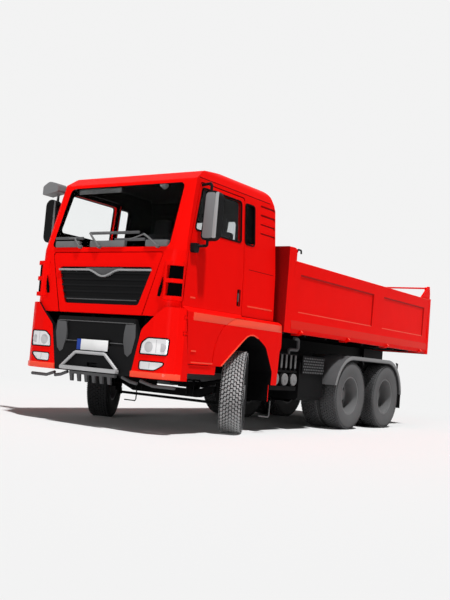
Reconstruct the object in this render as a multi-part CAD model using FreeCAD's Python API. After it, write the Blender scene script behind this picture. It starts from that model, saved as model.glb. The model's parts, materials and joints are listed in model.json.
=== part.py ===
import FreeCAD, Part
import math
import os

# Three-axle dump truck, sizes in millimetres.
# X is across with the truck's left positive, Y runs rearward, Z is up from the ground.
# Stations along Y are measured from the front axle. The finished nodes are moved along Y
# at the end, so that the origin lies on the ground in the middle of the length.

# Wheels and axles
tyre_radius = 520.0
tyre_width = 290.0
tyre_shoulder = 22.0
tyre_sides = 48
tyre_seat_gap = 0.1
bead_radius = 286.0
rim_width = 236.0
rim_wall = 14.0
rim_flange = 20.0
disc_wall = 14.0
hand_hole_radius = 22.0
hand_holes = 8
hub_radius = 140.0
hub_length = 190.0
spindle_radius = 45.0
shaft_clearance = 0.05
front_wheel_x = 1034.0
rear_wheel_x = 1090.0
twin_spacing = 326.0
wheelbase = 3030.0
tandem_spacing = 1330.0

# Steering
kingpin_x = 850.0
kingpin_radius = 24.0
kingpin_boss = 90.0
boss_radius = 52.0
fork_wall = 46.0
fork_gap = 2.0
steer_angle = 30.0
arm_length = 190.0
arm_height = 378.0
tie_rod_radius = 18.0

# Frame
frame_x = 400.0
frame_top = 1000.0
frame_height = 280.0
frame_flange = 75.0
frame_wall = 8.0
frame_front = -1290.0
frame_overhang = 840.0
frame_rear = wheelbase + tandem_spacing + frame_overhang
member_width = 90.0
member_inset = 24.0
end_beam_wall = 14.0
gearbox_member = 640.0
middle_member_lead = 530.0
coupling_across = 160.0
coupling_upright = 100.0
coupling_hole = 10.5

# Springs
spring_x = 430.0
spring_width = 90.0
leaf_wall = 18.0
front_spring_half = 780.0
front_spring_rise = 70.0
front_spring_seat = 520.0
rear_spring_half = 560.0
rear_spring_rise = 44.0
rear_spring_seat = 600.0
beam_top = 500.0
beam_depth = 100.0
beam_width = 100.0
axle_tube_radius = 75.0
housing_radius = 190.0

# Engine block and shafts
engine_half_width = 300.0
engine_front = -900.0
engine_rear = 420.0
engine_bottom = 790.0
engine_top = 1400.0
propshaft_radius = 50.0
gearbox_z = 860.0
gearbox_length = 190.0

# Cab hull
cab_wall = 50.0
cab_front = -1440.0
cab_rear = 680.0
cab_floor = 1470.0
cab_nose_bottom = 1340.0
cab_sill_half = 1150.0
cab_belt_half = 1135.0
cab_roof_half = 1060.0
belt_z = 2070.0
nose_bend = 1700.0
screen_bottom = 2118.0
screen_foot_y = -1400.0
screen_head_y = -1150.0
roof_crown = 8.0
corner_radius = 190.0
vane_low = 1530.0
vane_high = 1970.0
glass_wall = 7.0
glass_inset = 14.0
seam_gap = 12.0

# Shoulder of the lower body
shoulder_x = 1222.0
shoulder_top = 1462.0
shoulder_edge = 1430.0
skirt_x = 1205.0
skirt_wall = 55.0

# Doors
door_bottom = 830.0
door_rear = -105.0
door_hinge_x = 1215.0
door_hinge_y = -1318.0
door_pin_radius = 8.0
door_eye_radius = 16.0
door_eye_height = 30.0
door_eye_gap = 8.0
door_eyes = [1165.0, 1345.0]
window_head = 2905.0
window_height = 520.0
window_sill = window_head - window_height
door_rail = 55.0
door_top = window_head + door_rail
seam_rise = 60.0
roof_seam = door_top + seam_rise
roof_rise = 170.0
roof_top = roof_seam + roof_rise
screen_drop = 30.0
screen_top = roof_seam - screen_drop

# Wheel arch, sill and lamp housings
arch_front = -560.0
arch_top = 1245.0
arch_rear = 650.0
fender_rear = 795.0
fender_low = 410.0
sill_low = 720.0
sill_front = -1205.0
liner_x = 700.0
liner_wall = 14.0
liner_lead = 60.0
bumper_face = -1480.0
bumper_low = 630.0
housing_wall = 60.0
dome_top = 1450.0
housing_gap = 6.0

# Front flap, grille, bumper and step bar
flap_top = 2078.0
flap_top_half = 880.0
flap_low_half = 660.0
flap_wall = 50.0
flap_gap = 10.0
flap_hinge_depth = 10.0
flap_hinge_drop = 8.0
flap_pin_radius = 4.0
fire_wall = 45.0
grille_top = 1905.0
grille_low = 1452.0
grille_top_half = 750.0
grille_low_half = 590.0
housing_low_x = 606.0
housing_high_x = 716.0
bumper_top = 1290.0
bumper_wall = 60.0
step_bar_radius = 19.0
step_bar_y = -1530.0
comb_teeth = 6
tow_pin_radius = 20.5

# Mirrors
mirror_reach = 275.0
mirror_outer = cab_belt_half + mirror_reach
mirror_width = 245.0
mirror_drop = 70.0
mirror_high = window_head - mirror_drop
mirror_height = 575.0
mirror_low = mirror_high - mirror_height
mirror_y = -1130.0
mirror_depth = 95.0
mirror_arm_radius = 17.0

# Bed
bed_front = 810.0
bed_half = 1250.0
bed_low = 1345.0
bed_top = 2330.0
post_top = 2500.0
wall_thickness = 55.0
headboard_depth = 170.0
rear_post_depth = 80.0
floor_z = 1420.0
floor_wall = 20.0
floor_gap = 8.0
bearer_depth = 80.0
bearer_width = 60.0
beam_half = 365.0
bed_beam_width = 70.0
subframe_top = 1150.0
subframe_member = 870.0
tip_hinge_lead = 50.0
tip_hinge_y = frame_rear - tip_hinge_lead
bed_overhang = 940.0
bed_rear = tip_hinge_y + bed_overhang
tip_hinge_z = 1090.0
tip_pin_radius = 35.0
wall_hinge_x = 1262.0
wall_hinge_z = 1362.0
wall_pin_radius = 8.0
wall_ear_half = 20.0
wall_ear_gap = 6.0
wall_lug = 18.0
recess_depth = 22.0
ear_top = 2570.0
gate_hinge_z = 2540.0
gate_hinge_lead = 60.0
gate_hinge_y = bed_rear - gate_hinge_lead
gate_pin_radius = 15.0

# Hoist
hoist_lead = 550.0
hoist_foot_y = wheelbase - hoist_lead
hoist_foot_z = 1040.0
hoist_radii = [92.0, 78.0, 65.0, 53.0, 42.0]
hoist_length = 595.0
hoist_below = 335.0
hoist_clearance = 0.05
hoist_pin_radius = 22.0
hoist_step = 12.0
hoist_eye_radius = 34.0
hoist_lug_gap = 6.0
hoist_lug_wall = 20.0

# Rear mudguards and chassis equipment
guard_radius = 610.0
guard_wall = 14.0
guard_inner_x = 610.0
guard_outer_x = 1245.0
guard_lip = 62.0
guard_bar = 20.0
tank_radius = 98.0
tank_first_y = 910.0
tank_spacing = 245.0
tank_z = 712.0
equipment_x = 1130.0
fuel_tank_front = 950.0
fuel_tank_gap = 270.0
silencer_lead = 200.0
silencer_gap = 100.0
underrun_gap = 90.0
underrun_depth = 60.0

V = FreeCAD.Vector
ALONG = {"yz": V(1, 0, 0), "xz": V(0, 1, 0), "xy": V(0, 0, 1)}


def spot(u, v, plane):
    """Point of a drawing plane through the origin."""
    if plane == "yz":
        return V(0, u, v)
    if plane == "xz":
        return V(u, 0, v)
    return V(u, v, 0)


def outline(points, plane):
    """Face with straight sides, whose corners may carry a radius as a third number."""
    count = len(points)
    ends = []
    for index, point in enumerate(points):
        here = spot(point[0], point[1], plane)
        radius = point[2] if len(point) > 2 else 0.0
        if radius == 0.0:
            ends.append((here, here, here))
            continue
        before = points[index - 1]
        after = points[(index + 1) % count]
        back = (spot(before[0], before[1], plane) - here).normalize()
        ahead = (spot(after[0], after[1], plane) - here).normalize()
        half = back.getAngle(ahead) / 2
        cut = radius / math.tan(half)
        middle = (back + ahead).normalize() * (radius / math.sin(half) - radius)
        ends.append((here + back * cut, here + middle, here + ahead * cut))
    edges = []
    for index, (start, middle, end) in enumerate(ends):
        if start.distanceToPoint(end) > 1e-6:
            edges.append(Part.Arc(start, middle, end).toShape())
        following = ends[(index + 1) % count][0]
        if end.distanceToPoint(following) > 1e-6:
            edges.append(Part.LineSegment(end, following).toShape())
    return Part.Face(Part.Wire(edges))


def moved_in(points, inset):
    """Outline points with every side moved inward, the radii following."""
    count = len(points)
    area = 0.0
    for index, point in enumerate(points):
        after = points[(index + 1) % count]
        area += point[0] * after[1] - after[0] * point[1]
    turn = 1.0 if area > 0 else -1.0
    moved = []
    for index, point in enumerate(points):
        here = V(point[0], point[1], 0)
        before = points[index - 1]
        after = points[(index + 1) % count]
        arriving = (here - V(before[0], before[1], 0)).normalize()
        leaving = (V(after[0], after[1], 0) - here).normalize()
        normals = V(-arriving.y - leaving.y, arriving.x + leaving.x, 0) * turn
        place = here + normals * (inset / (1 + arriving.dot(leaving)))
        radius = point[2] if len(point) > 2 else 0.0
        if arriving.cross(leaving).z * turn > 0:
            radius = max(radius - inset, 0.0)
        elif radius > 0:
            radius += inset
        moved.append((place.x, place.y, radius))
    return moved


def prism(points, plane, low, high):
    """Straight body with the given outline between two distances from its plane."""
    face = outline(points, plane)
    face.translate(ALONG[plane] * low)
    return face.extrude(ALONG[plane] * (high - low))


def block(x0, x1, y0, y1, z0, z1):
    """Box between two corners."""
    return Part.makeBox(x1 - x0, y1 - y0, z1 - z0, V(x0, y0, z0))


def rod(start, end, radius):
    """Round bar between two points."""
    return Part.makeCylinder(radius, (end - start).Length, start, end - start)


def bent_rod(points, radius, bend):
    """Round bar along straight runs with rounded bends."""
    edges = []
    last = points[0]
    for index in range(1, len(points) - 1):
        here = points[index]
        back = (points[index - 1] - here).normalize()
        ahead = (points[index + 1] - here).normalize()
        half = back.getAngle(ahead) / 2
        cut = bend / math.tan(half)
        middle = here + (back + ahead).normalize() * (bend / math.sin(half) - bend)
        edges.append(Part.LineSegment(last, here + back * cut).toShape())
        edges.append(Part.Arc(here + back * cut, middle, here + ahead * cut).toShape())
        last = here + ahead * cut
    edges.append(Part.LineSegment(last, points[-1]).toShape())
    path = Part.Wire(edges)
    ring = Part.Wire(Part.makeCircle(radius, points[0], points[1] - points[0]))
    return path.makePipeShell([ring], True, False)


def turned(points, centre):
    """Body of revolution about the X direction from (x, radius) points."""
    face = outline(points, "xy")
    body = face.revolve(V(0, 0, 0), V(1, 0, 0), 360)
    body.translate(centre)
    return body


def joined(parts):
    """One solid from parts that meet."""
    return parts[0].multiFuse(parts[1:]).removeSplitter()


def apart(parts):
    """Several solids of one node that don't meet."""
    return Part.makeCompound(parts)


def other_side(shape):
    """The same shape on the truck's right."""
    return shape.mirror(V(0, 0, 0), V(1, 0, 0))


def both_sides(shape):
    """The shape and its mirror image as one node."""
    return apart([shape, other_side(shape)])


# Wheels

def many_sided_ring(along, apothem):
    """Closed ring of straight sides about the x axis, one side flat on the ground."""
    half_turn = math.pi / tyre_sides
    radius = apothem / math.cos(half_turn)
    turns = [half_turn * (2 * index + 1) for index in range(tyre_sides)]
    points = [V(along, radius * math.sin(turn), radius * math.cos(turn)) for turn in turns]
    return Part.makePolygon(points + points[:1])


def tyre(centre_x, centre_y):
    """Tyre without tread, of straight sides so that ten of them stay light."""
    half = tyre_width / 2
    bead_half = rim_width / 2 - 14
    side_radius = tyre_radius - tyre_shoulder * 3
    section = [(-bead_half, bead_radius), (-half, side_radius), (-half + tyre_shoulder, tyre_radius),
               (half - tyre_shoulder, tyre_radius), (half, side_radius), (bead_half, bead_radius)]
    outer = Part.makeLoft([many_sided_ring(along, radius) for along, radius in section], True, True)
    seat = bead_radius + tyre_seat_gap
    bore = Part.Face(many_sided_ring(-half, seat)).extrude(V(tyre_width, 0, 0))
    body = outer.cut(bore)
    body.translate(V(centre_x, centre_y, tyre_radius))
    return body


def hand_hole_cuts(centre, radius, start, end):
    """Rods along x through a wheel disc, evenly spaced round its centre."""
    cuts = []
    for index in range(hand_holes):
        turn = 2 * math.pi * (index + 0.5) / hand_holes
        place = centre + V(0, radius * math.cos(turn), radius * math.sin(turn))
        cuts.append(rod(place + V(start, 0, 0), place + V(end, 0, 0), hand_hole_radius))
    return cuts


def rim_barrel():
    """Rim section in x and radius, open drop centre, about its own middle."""
    half = rim_width / 2
    inner = bead_radius - rim_wall
    return [(-half, inner), (-half, bead_radius + rim_flange), (-half + 6, bead_radius + rim_flange),
            (-half + 6, bead_radius), (half - 6, bead_radius), (half - 6, bead_radius + rim_flange),
            (half, bead_radius + rim_flange), (half, inner)]


def front_rim():
    """Rim, dished disc and hub of the left front wheel, straight ahead."""
    centre = V(front_wheel_x, 0, tyre_radius)
    barrel = turned(rim_barrel(), centre)
    disc_x = rim_width / 2 - 30
    inner = bead_radius - rim_wall
    disc = turned([(disc_x, hub_radius - 10), (disc_x, inner - 40), (disc_x - 60, inner + 2),
                   (disc_x - 60 - disc_wall, inner + 2), (disc_x - disc_wall, inner - 46),
                   (disc_x - disc_wall, hub_radius - 10)], centre)
    bore = spindle_radius + shaft_clearance
    hub = turned([(disc_x - 150, bore), (disc_x - 150, 100), (disc_x - disc_wall, 118),
                  (disc_x - disc_wall, hub_radius + 10), (disc_x + 4, hub_radius + 10),
                  (disc_x + 4, 100), (disc_x + 50, 92), (disc_x + 50, 0), (disc_x + 24, 0),
                  (disc_x + 24, bore)], centre)
    body = joined([barrel, disc, hub])
    for cut in hand_hole_cuts(centre, inner - 76, disc_x - 30, disc_x + 10):
        body = body.cut(cut)
    return body


def rear_rims(station):
    """Twin rims of a left rear wheel on one hub."""
    outer = V(rear_wheel_x, station, tyre_radius)
    inner = V(rear_wheel_x - twin_spacing, station, tyre_radius)
    middle = V(rear_wheel_x - twin_spacing / 2, station, tyre_radius)
    wall = bead_radius - rim_wall
    reach = (twin_spacing - rim_width) / 2
    plate = [(0, hub_radius - 20), (0, wall - 70), (reach + 20, wall + 2),
             (reach + 20 + disc_wall, wall + 2), (disc_wall, wall - 76), (disc_wall, hub_radius - 20)]
    mirrored = [(-x, r) for x, r in plate]
    bore = spindle_radius + shaft_clearance
    hub = turned([(-hub_length, bore), (-hub_length, hub_radius - 20), (-20, hub_radius - 10),
                  (-20, hub_radius + 30), (20, hub_radius + 30), (20, hub_radius - 10),
                  (hub_length - 60, hub_radius - 40), (hub_length - 30, 70),
                  (hub_length - 30, 0), (hub_length - 56, 0), (hub_length - 56, bore)], middle)
    body = joined([turned(rim_barrel(), outer), turned(rim_barrel(), inner),
                   turned(plate, middle), turned(mirrored, middle), hub])
    for cut in hand_hole_cuts(middle, wall - 38, -reach - 60, reach + 60):
        body = body.cut(cut)
    return body


# Front axle and steering

def front_axle():
    """Drop-forged beam with kingpins and spring seats."""
    low = beam_top - beam_depth
    arm = kingpin_x - boss_radius + 8
    arm_low = tyre_radius - kingpin_boss / 2 + 5
    arm_top = tyre_radius + kingpin_boss / 2 - 5
    half = [(0, low), (540, low, 60), (arm - 60, arm_low, 60), (arm, arm_low),
            (arm, arm_top), (arm - 90, arm_top, 60), (520, beam_top, 60), (0, beam_top)]
    beam = prism(half, "xz", -beam_width / 2, beam_width / 2)
    middle = tyre_radius
    boss = rod(V(kingpin_x, 0, middle - kingpin_boss / 2), V(kingpin_x, 0, middle + kingpin_boss / 2),
               boss_radius)
    reach = kingpin_boss / 2 + fork_gap + fork_wall
    pin = rod(V(kingpin_x, 0, middle - reach), V(kingpin_x, 0, middle + reach), kingpin_radius)
    seat = block(spring_x - spring_width / 2, spring_x + spring_width / 2, -90, 90,
                 beam_top - 6, front_spring_seat)
    left = joined([beam, boss, pin, seat])
    return joined([left, other_side(left)])


def knuckle():
    """Left steering knuckle, straight ahead: fork, spindle and steering arm."""
    middle = tyre_radius
    gap = kingpin_boss / 2 + fork_gap
    plates = []
    for low in (middle - gap - fork_wall, middle + gap):
        eye = rod(V(kingpin_x, 0, low), V(kingpin_x, 0, low + fork_wall), boss_radius)
        tongue = block(kingpin_x, kingpin_x + 78, -boss_radius + 8, boss_radius - 8,
                       low, low + fork_wall)
        plates.append(eye.fuse(tongue))
    web = block(kingpin_x + boss_radius + 4, kingpin_x + 78, -boss_radius + 8, boss_radius - 8,
                middle - gap - fork_wall, middle + gap + fork_wall)
    disc_x = front_wheel_x + rim_width / 2 - 30
    spindle = rod(V(kingpin_x + 70, 0, middle), V(disc_x + 20, 0, middle), spindle_radius)
    arm = prism([(kingpin_x - 24, 0), (kingpin_x + 24, 0), (kingpin_x + 24, arm_length, 23),
                 (kingpin_x - 24, arm_length, 23)], "xy", arm_height, arm_height + 30)
    post = rod(V(kingpin_x, 0, arm_height), V(kingpin_x, 0, middle - gap - fork_wall + 2), boss_radius - 12)
    body = joined(plates + [web, spindle, arm, post])
    bore = rod(V(kingpin_x, 0, arm_height + 30), V(kingpin_x, 0, middle + 200),
               kingpin_radius + shaft_clearance)
    return body.cut(bore)


def arm_eye():
    """Place of the steering arm's ball, straight ahead, on the left."""
    return V(kingpin_x, arm_length - 24, arm_height)


def steered(shape, side):
    """Turns a knuckle or wheel about its kingpin by the drawn steering angle."""
    turned_shape = shape.copy()
    turned_shape.rotate(V(side * kingpin_x, 0, 0), V(0, 0, 1), steer_angle)
    return turned_shape


def tie_rod():
    """Rod between the two steering arms, in its drawn place."""
    turn = FreeCAD.Rotation(V(0, 0, 1), steer_angle)
    kingpin = V(kingpin_x, 0, 0)
    swing = turn.multVec(arm_eye() - kingpin)
    left = kingpin + swing
    right = swing - kingpin
    drop = V(0, 0, -tie_rod_radius - 12)
    bar = rod(left + drop, right + drop, tie_rod_radius)
    ends = [rod(point + drop * 1.9, point + V(0, 0, -0.3), tie_rod_radius + 8) for point in (left, right)]
    return joined([bar] + ends)


# Frame

def rail():
    """Left frame rail, a channel open inward."""
    low = frame_top - frame_height
    inner = frame_x - frame_flange
    web = frame_x - frame_wall
    points = [(frame_x, low), (inner, low), (inner, low + frame_wall), (web, low + frame_wall),
              (web, frame_top - frame_wall), (inner, frame_top - frame_wall), (inner, frame_top),
              (frame_x, frame_top)]
    return prism(points, "xz", frame_front, frame_rear)


def cross_members():
    """Channels between the rails, with the pieces that carry the engine."""
    web = frame_x - frame_wall
    inner = frame_x - frame_flange
    low = frame_top - frame_height + frame_wall
    high = frame_top - frame_wall
    parts = []
    between = wheelbase + tandem_spacing / 2 - member_width / 2
    for station in (frame_front, gearbox_member, hoist_foot_y - middle_member_lead, between):
        body = block(-web, web, station, station + member_width, low, high)
        slot = block(-inner, inner, station + frame_wall, station + member_width,
                     low + member_inset, high - member_inset)
        shaft_way = rod(V(0, station - 1, gearbox_z), V(0, station + member_width + 1, gearbox_z),
                        propshaft_radius + 35)
        parts.append(body.cut(slot).cut(shaft_way) if station == gearbox_member else body.cut(slot))
    for station in (engine_front + 120, engine_rear - 200):
        parts.append(block(-web, web, station, station + member_width, low, engine_bottom))
    end = block(-web, web, frame_rear - member_width, frame_rear, low, high)
    end = end.cut(block(-inner, inner, frame_rear - member_width, frame_rear - end_beam_wall,
                        low + member_inset, high - member_inset))
    middle = (low + high) / 2
    for side in (-1, 1):
        for up in (-1, 1):
            x = side * coupling_across / 2
            z = middle + up * coupling_upright / 2
            end = end.cut(rod(V(x, frame_rear - member_width, z), V(x, frame_rear + 10, z), coupling_hole))
    parts.append(end)
    return apart(parts)


def leaf_pack(station, seat, half, rise):
    """Leaves stacked on an axle seat on the left, the longest one on top."""
    count = 4
    bottom = seat + count * leaf_wall
    radius = (half * half + rise * rise) / (2 * rise)
    leaves = []
    for index in range(count):
        reach = half * (1 - 0.22 * index)
        top = bottom - index * leaf_wall
        inner = radius + index * leaf_wall
        angle = math.asin(reach / inner)
        centre = V(0, station, top + inner)
        def on_arc(size, turn):
            return centre + V(0, size * math.sin(turn), -size * math.cos(turn))
        outer = inner + leaf_wall
        arcs = [Part.Arc(on_arc(inner, -angle), on_arc(inner, 0), on_arc(inner, angle)).toShape(),
                Part.LineSegment(on_arc(inner, angle), on_arc(outer, angle)).toShape(),
                Part.Arc(on_arc(outer, angle), on_arc(outer, 0), on_arc(outer, -angle)).toShape(),
                Part.LineSegment(on_arc(outer, -angle), on_arc(inner, -angle)).toShape()]
        face = Part.Face(Part.Wire(arcs))
        face.translate(V(spring_x - spring_width / 2, 0, 0))
        leaves.append(face.extrude(V(spring_width, 0, 0)))
    return joined(leaves)


def spring_end(station, seat, half, rise, side):
    """Height and station of a main leaf's end."""
    return V(0, station + side * half, seat + 4 * leaf_wall + rise)


def leaf_springs():
    """Leaf packs of the three axles on both sides."""
    left = [leaf_pack(0, front_spring_seat, front_spring_half, front_spring_rise)]
    for station in (wheelbase, wheelbase + tandem_spacing):
        left.append(leaf_pack(station, rear_spring_seat, rear_spring_half, rear_spring_rise))
    return apart(left + [other_side(part) for part in left])


def hanger(end):
    """Bracket from the rail web down onto a leaf's end."""
    outer = spring_x + spring_width / 2
    low = end.z
    plate = prism([(end.y - 60, frame_top - 60), (end.y + 60, frame_top - 60),
                   (end.y + 34, low, 10), (end.y - 34, low, 10)], "yz", frame_x, outer)
    foot = block(spring_x - spring_width / 2, frame_x, end.y - 34, end.y + 34,
                 low, frame_top - frame_height)
    return joined([plate, foot]) if frame_top - frame_height - low > 1 else plate


def spring_hangers():
    """Brackets at both ends of each leaf pack."""
    ends = []
    for side in (-1, 1):
        ends.append(spring_end(0, front_spring_seat, front_spring_half, front_spring_rise, side))
        for station in (wheelbase, wheelbase + tandem_spacing):
            ends.append(spring_end(station, rear_spring_seat, rear_spring_half, rear_spring_rise, side))
    left = [hanger(end) for end in ends]
    return apart(left + [other_side(part) for part in left])


def engine():
    """Engine as one plain block."""
    return block(-engine_half_width, engine_half_width, engine_front, engine_rear,
                 engine_bottom, engine_top)


def gearbox():
    """Gearbox bolted to the engine's rear."""
    return prism([(-190, 700), (190, 700), (230, 800), (230, 1000, 60), (-230, 1000, 60), (-230, 800)],
                 "xz", engine_rear, engine_rear + gearbox_length)


def drive_axles():
    """Two banjo axles with spring seats, spindles and propshafts."""
    reach = rear_wheel_x - twin_spacing / 2
    stub = reach - hub_length - 20
    half = [(-stub, 0), (-stub, axle_tube_radius), (-280, axle_tube_radius, 60),
            (-130, housing_radius, 60), (130, housing_radius, 60), (280, axle_tube_radius, 60),
            (stub, axle_tube_radius), (stub, 0)]
    parts = []
    for station in (wheelbase, wheelbase + tandem_spacing):
        centre = V(0, station, tyre_radius)
        body = turned(half, centre)
        ends = rod(V(-reach - hub_length + 60, station, tyre_radius),
                   V(reach + hub_length - 60, station, tyre_radius), spindle_radius)
        pieces = [body, ends]
        for side in (-1, 1):
            pieces.append(block(side * spring_x - spring_width / 2, side * spring_x + spring_width / 2,
                                station - 80, station + 80, tyre_radius, rear_spring_seat))
        parts.append(joined(pieces))
    first = wheelbase
    flange_y = engine_rear + gearbox_length
    start = V(0, flange_y - 20, gearbox_z + 3)
    end = V(0, first - housing_radius + 12, tyre_radius + 30)
    shaft = rod(start, end, propshaft_radius).cut(gearbox())
    between = rod(V(0, first + housing_radius - 12, tyre_radius + 20),
                  V(0, first + tandem_spacing - housing_radius + 12, tyre_radius + 20), propshaft_radius)
    return joined([parts[0], shaft, between, parts[1]])


# Cab

def side_points():
    """Outer side view of the hull: station and height."""
    return [(cab_front, cab_nose_bottom), (cab_front, nose_bend), (screen_foot_y, screen_bottom),
            (screen_head_y, screen_top, 60), (-960, roof_top - 62, 120), (-500, roof_top, 300),
            (cab_rear - 130, roof_top, 190), (cab_rear - 20, roof_top - 250, 60), (cab_rear, cab_floor),
            (-1010, cab_floor), (-1010, cab_nose_bottom)]


def width_points():
    """Outer front view of the hull: half width and height, both sides."""
    right = [(cab_sill_half, cab_nose_bottom), (cab_sill_half, 1500), (cab_belt_half, belt_z),
             (cab_roof_half, roof_seam, 60), (cab_roof_half - 60, roof_top + roof_crown, 150)]
    return right + [(-point[0],) + point[1:] for point in reversed(right)]


def plan_points():
    """Outer plan of the hull, run out to the rear: half width and station."""
    return [(-cab_sill_half, cab_front, corner_radius), (cab_sill_half, cab_front, corner_radius),
            (cab_sill_half, 3000), (-cab_sill_half, 3000)]


def cab_hull(inset):
    """Closed body of the cab, its skin moved inward by the inset."""
    side = prism(moved_in(side_points(), inset), "yz", -1400, 1400)
    width = prism(moved_in(width_points(), inset), "xz", -2000, 2000)
    plan = outline(moved_in(plan_points(), inset), "xy")
    plan.translate(V(0, 0, cab_nose_bottom - 50))
    foot_shift = (screen_foot_y - cab_front) * 0.75
    foot = V(0, foot_shift, screen_bottom - cab_nose_bottom + 50)
    lower = plan.extrude(foot)
    plan.translate(foot)
    slope = (screen_head_y - screen_foot_y) / (screen_top - screen_bottom)
    rise = roof_top + 100 - screen_bottom
    upper = plan.extrude(V(0, slope * rise, rise))
    square = side.common(width)
    return joined([square.common(lower), square.common(upper)]).Solids[0]


def side_sheet(depth, wall):
    """Slab that follows the left side above the belt, between two depths below the skin."""
    points = [(cab_belt_half - depth, belt_z), (cab_roof_half - depth, roof_seam),
              (cab_roof_half - depth - wall, roof_seam), (cab_belt_half - depth - wall, belt_z)]
    return prism(points, "xz", cab_front, cab_rear)


def nose_y(height, depth):
    """Station of the nose's surface at a height, moved in by a depth."""
    rise = max(height - nose_bend, 0.0) / (screen_bottom - nose_bend)
    return cab_front + (screen_foot_y - cab_front) * rise + depth


def nose_sheet(depth, wall, low, high):
    """Slab that follows the nose between two heights below the skin."""
    points = [(nose_y(low, depth), low), (nose_y(nose_bend, depth), nose_bend), (nose_y(high, depth), high),
              (nose_y(high, depth + wall), high), (nose_y(nose_bend, depth + wall), nose_bend),
              (nose_y(low, depth + wall), low)]
    return prism(points, "yz", -cab_sill_half, cab_sill_half)


def screen_sheet(depth, wall):
    """Slab that follows the windscreen's slope below the skin."""
    points = [(screen_foot_y + depth, screen_bottom), (screen_head_y + depth, screen_top),
              (screen_head_y + depth + wall, screen_top), (screen_foot_y + depth + wall, screen_bottom)]
    return prism(points, "yz", -cab_belt_half, cab_belt_half)


def door_points(grow):
    """Outline of a door in side view, grown by the seam's gap where asked."""
    g = grow
    return [(-1212 - g, door_bottom - g), (-1290 - g, 1300), (-1312 - g, 1510), (-1262 - g, belt_z),
            (-1042 - g, door_top + g, 60), (door_rear + g, door_top + g, 40),
            (door_rear + g, shoulder_edge - g), (-150 + g, shoulder_edge - g),
            (-700 + g, shoulder_edge - g, 500), (-740 + g, door_bottom - g)]


def skin_points():
    """Section of the left side wall with its shoulder: x and height."""
    wall = skirt_wall
    return [(cab_roof_half, roof_seam), (cab_belt_half, belt_z), (cab_sill_half, 1520),
            (cab_sill_half, shoulder_top + 14, 8), (shoulder_x, shoulder_edge, 20), (shoulder_x + 4, 1300),
            (skirt_x, door_bottom - 200), (skirt_x - wall, door_bottom - 200),
            (shoulder_x - wall, 1300), (shoulder_x - wall, 1370, 20), (cab_sill_half - cab_wall, 1470),
            (cab_sill_half - cab_wall, 1520), (cab_belt_half - cab_wall, belt_z),
            (cab_roof_half - cab_wall, roof_seam)]


def window_points():
    """Door window in side view."""
    return [(-1150, window_sill, 40), (-1010, window_head, 60), (-172, window_head, 40),
            (-172, window_sill, 40)]


def quarter_points():
    """Fixed window behind the door in side view."""
    return [(-78, window_sill, 20), (-78, window_head, 20), (140, window_head, 60),
            (140, window_sill, 60)]


def rear_window_points():
    """Window of the rear wall."""
    low = window_head - 545
    high = window_head - 85
    return [(-470, low, 60), (470, low, 60), (470, high, 60), (-470, high, 60)]


def screen_points():
    """Windscreen in front view."""
    return [(-945, screen_bottom + 30, 60), (945, screen_bottom + 30, 60),
            (920, screen_top - 40, 70), (-920, screen_top - 40, 70)]


def cab_shell():
    """Hull with its windows, door openings, flap pocket, louvres and fire wall."""
    inner = cab_hull(cab_wall)
    shell = cab_hull(0).cut(inner)
    wall = nose_sheet(0, flap_wall + flap_gap + fire_wall, cab_nose_bottom, screen_bottom - 5)
    shell = shell.fuse(wall.common(cab_hull(0)))
    pocket = nose_sheet(-100, 100 + flap_wall + flap_gap, cab_nose_bottom - 30, screen_bottom)
    shell = shell.cut(pocket.common(prism(flap_points(flap_gap), "xz", cab_front - 200, cab_front + 300)))
    shell = joined([shell] + flap_pin(flap_pin_radius, flap_top_half - 36, flap_top_half + 40))
    opening = prism(door_points(seam_gap), "yz", 990, 1400)
    quarter = prism(quarter_points(), "yz", 990, 1400)
    for cutter in (opening, quarter):
        shell = shell.cut(cutter).cut(other_side(cutter))
    shell = shell.cut(prism(screen_points(), "xz", -1500, -1000))
    shell = shell.cut(prism(rear_window_points(), "xz", cab_rear - 200, cab_rear + 50))
    for index in range(4):
        low = window_head - 350 + 120 * index
        slot = prism([(290, low, 14), (640, low, 14), (640, low + 42, 14), (290, low + 42, 14)],
                     "yz", 900, 1400).common(side_sheet(-60, 70))
        shell = shell.cut(slot).cut(other_side(slot))
    vane = corner_vane()
    return joined([shell, vane, other_side(vane)])


def cab_glass():
    """Windscreen, quarter windows and rear window."""
    screen = screen_sheet(glass_inset, glass_wall).common(prism(screen_points(), "xz", -1500, -1000))
    quarter = side_sheet(glass_inset, glass_wall).common(prism(quarter_points(), "yz", 900, 1400))
    rear_line = cab_rear - 28
    rear = prism(rear_window_points(), "xz", rear_line - glass_wall, rear_line)
    return apart([screen, rear, quarter, other_side(quarter)])


def door_eye(height):
    """Left door's hinge eye with the tongue that carries it."""
    low = height - door_eye_height / 2
    eye = rod(V(door_hinge_x, door_hinge_y, low), V(door_hinge_x, door_hinge_y, low + door_eye_height),
              door_eye_radius)
    tongue = block(door_hinge_x - door_eye_radius, door_hinge_x + 3, door_hinge_y, -1200,
                   low, low + door_eye_height)
    front = prism(door_points(seam_gap + 40), "yz", 900, 1400)
    return eye.fuse(tongue.common(front))


def door_pins():
    """Left door's two hinge pins, between their notch's lips."""
    reach = door_eye_height / 2 + door_eye_gap + 20
    return [rod(V(door_hinge_x, door_hinge_y, height - reach), V(door_hinge_x, door_hinge_y, height + reach),
                door_pin_radius) for height in door_eyes]


def door_notch(height):
    """Space for a hinge eye in the skin ahead of the door."""
    half = door_eye_height / 2 + door_eye_gap
    return block(1100, 1300, door_hinge_y - door_eye_radius - 6, -1200, height - half, height + half)


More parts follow.
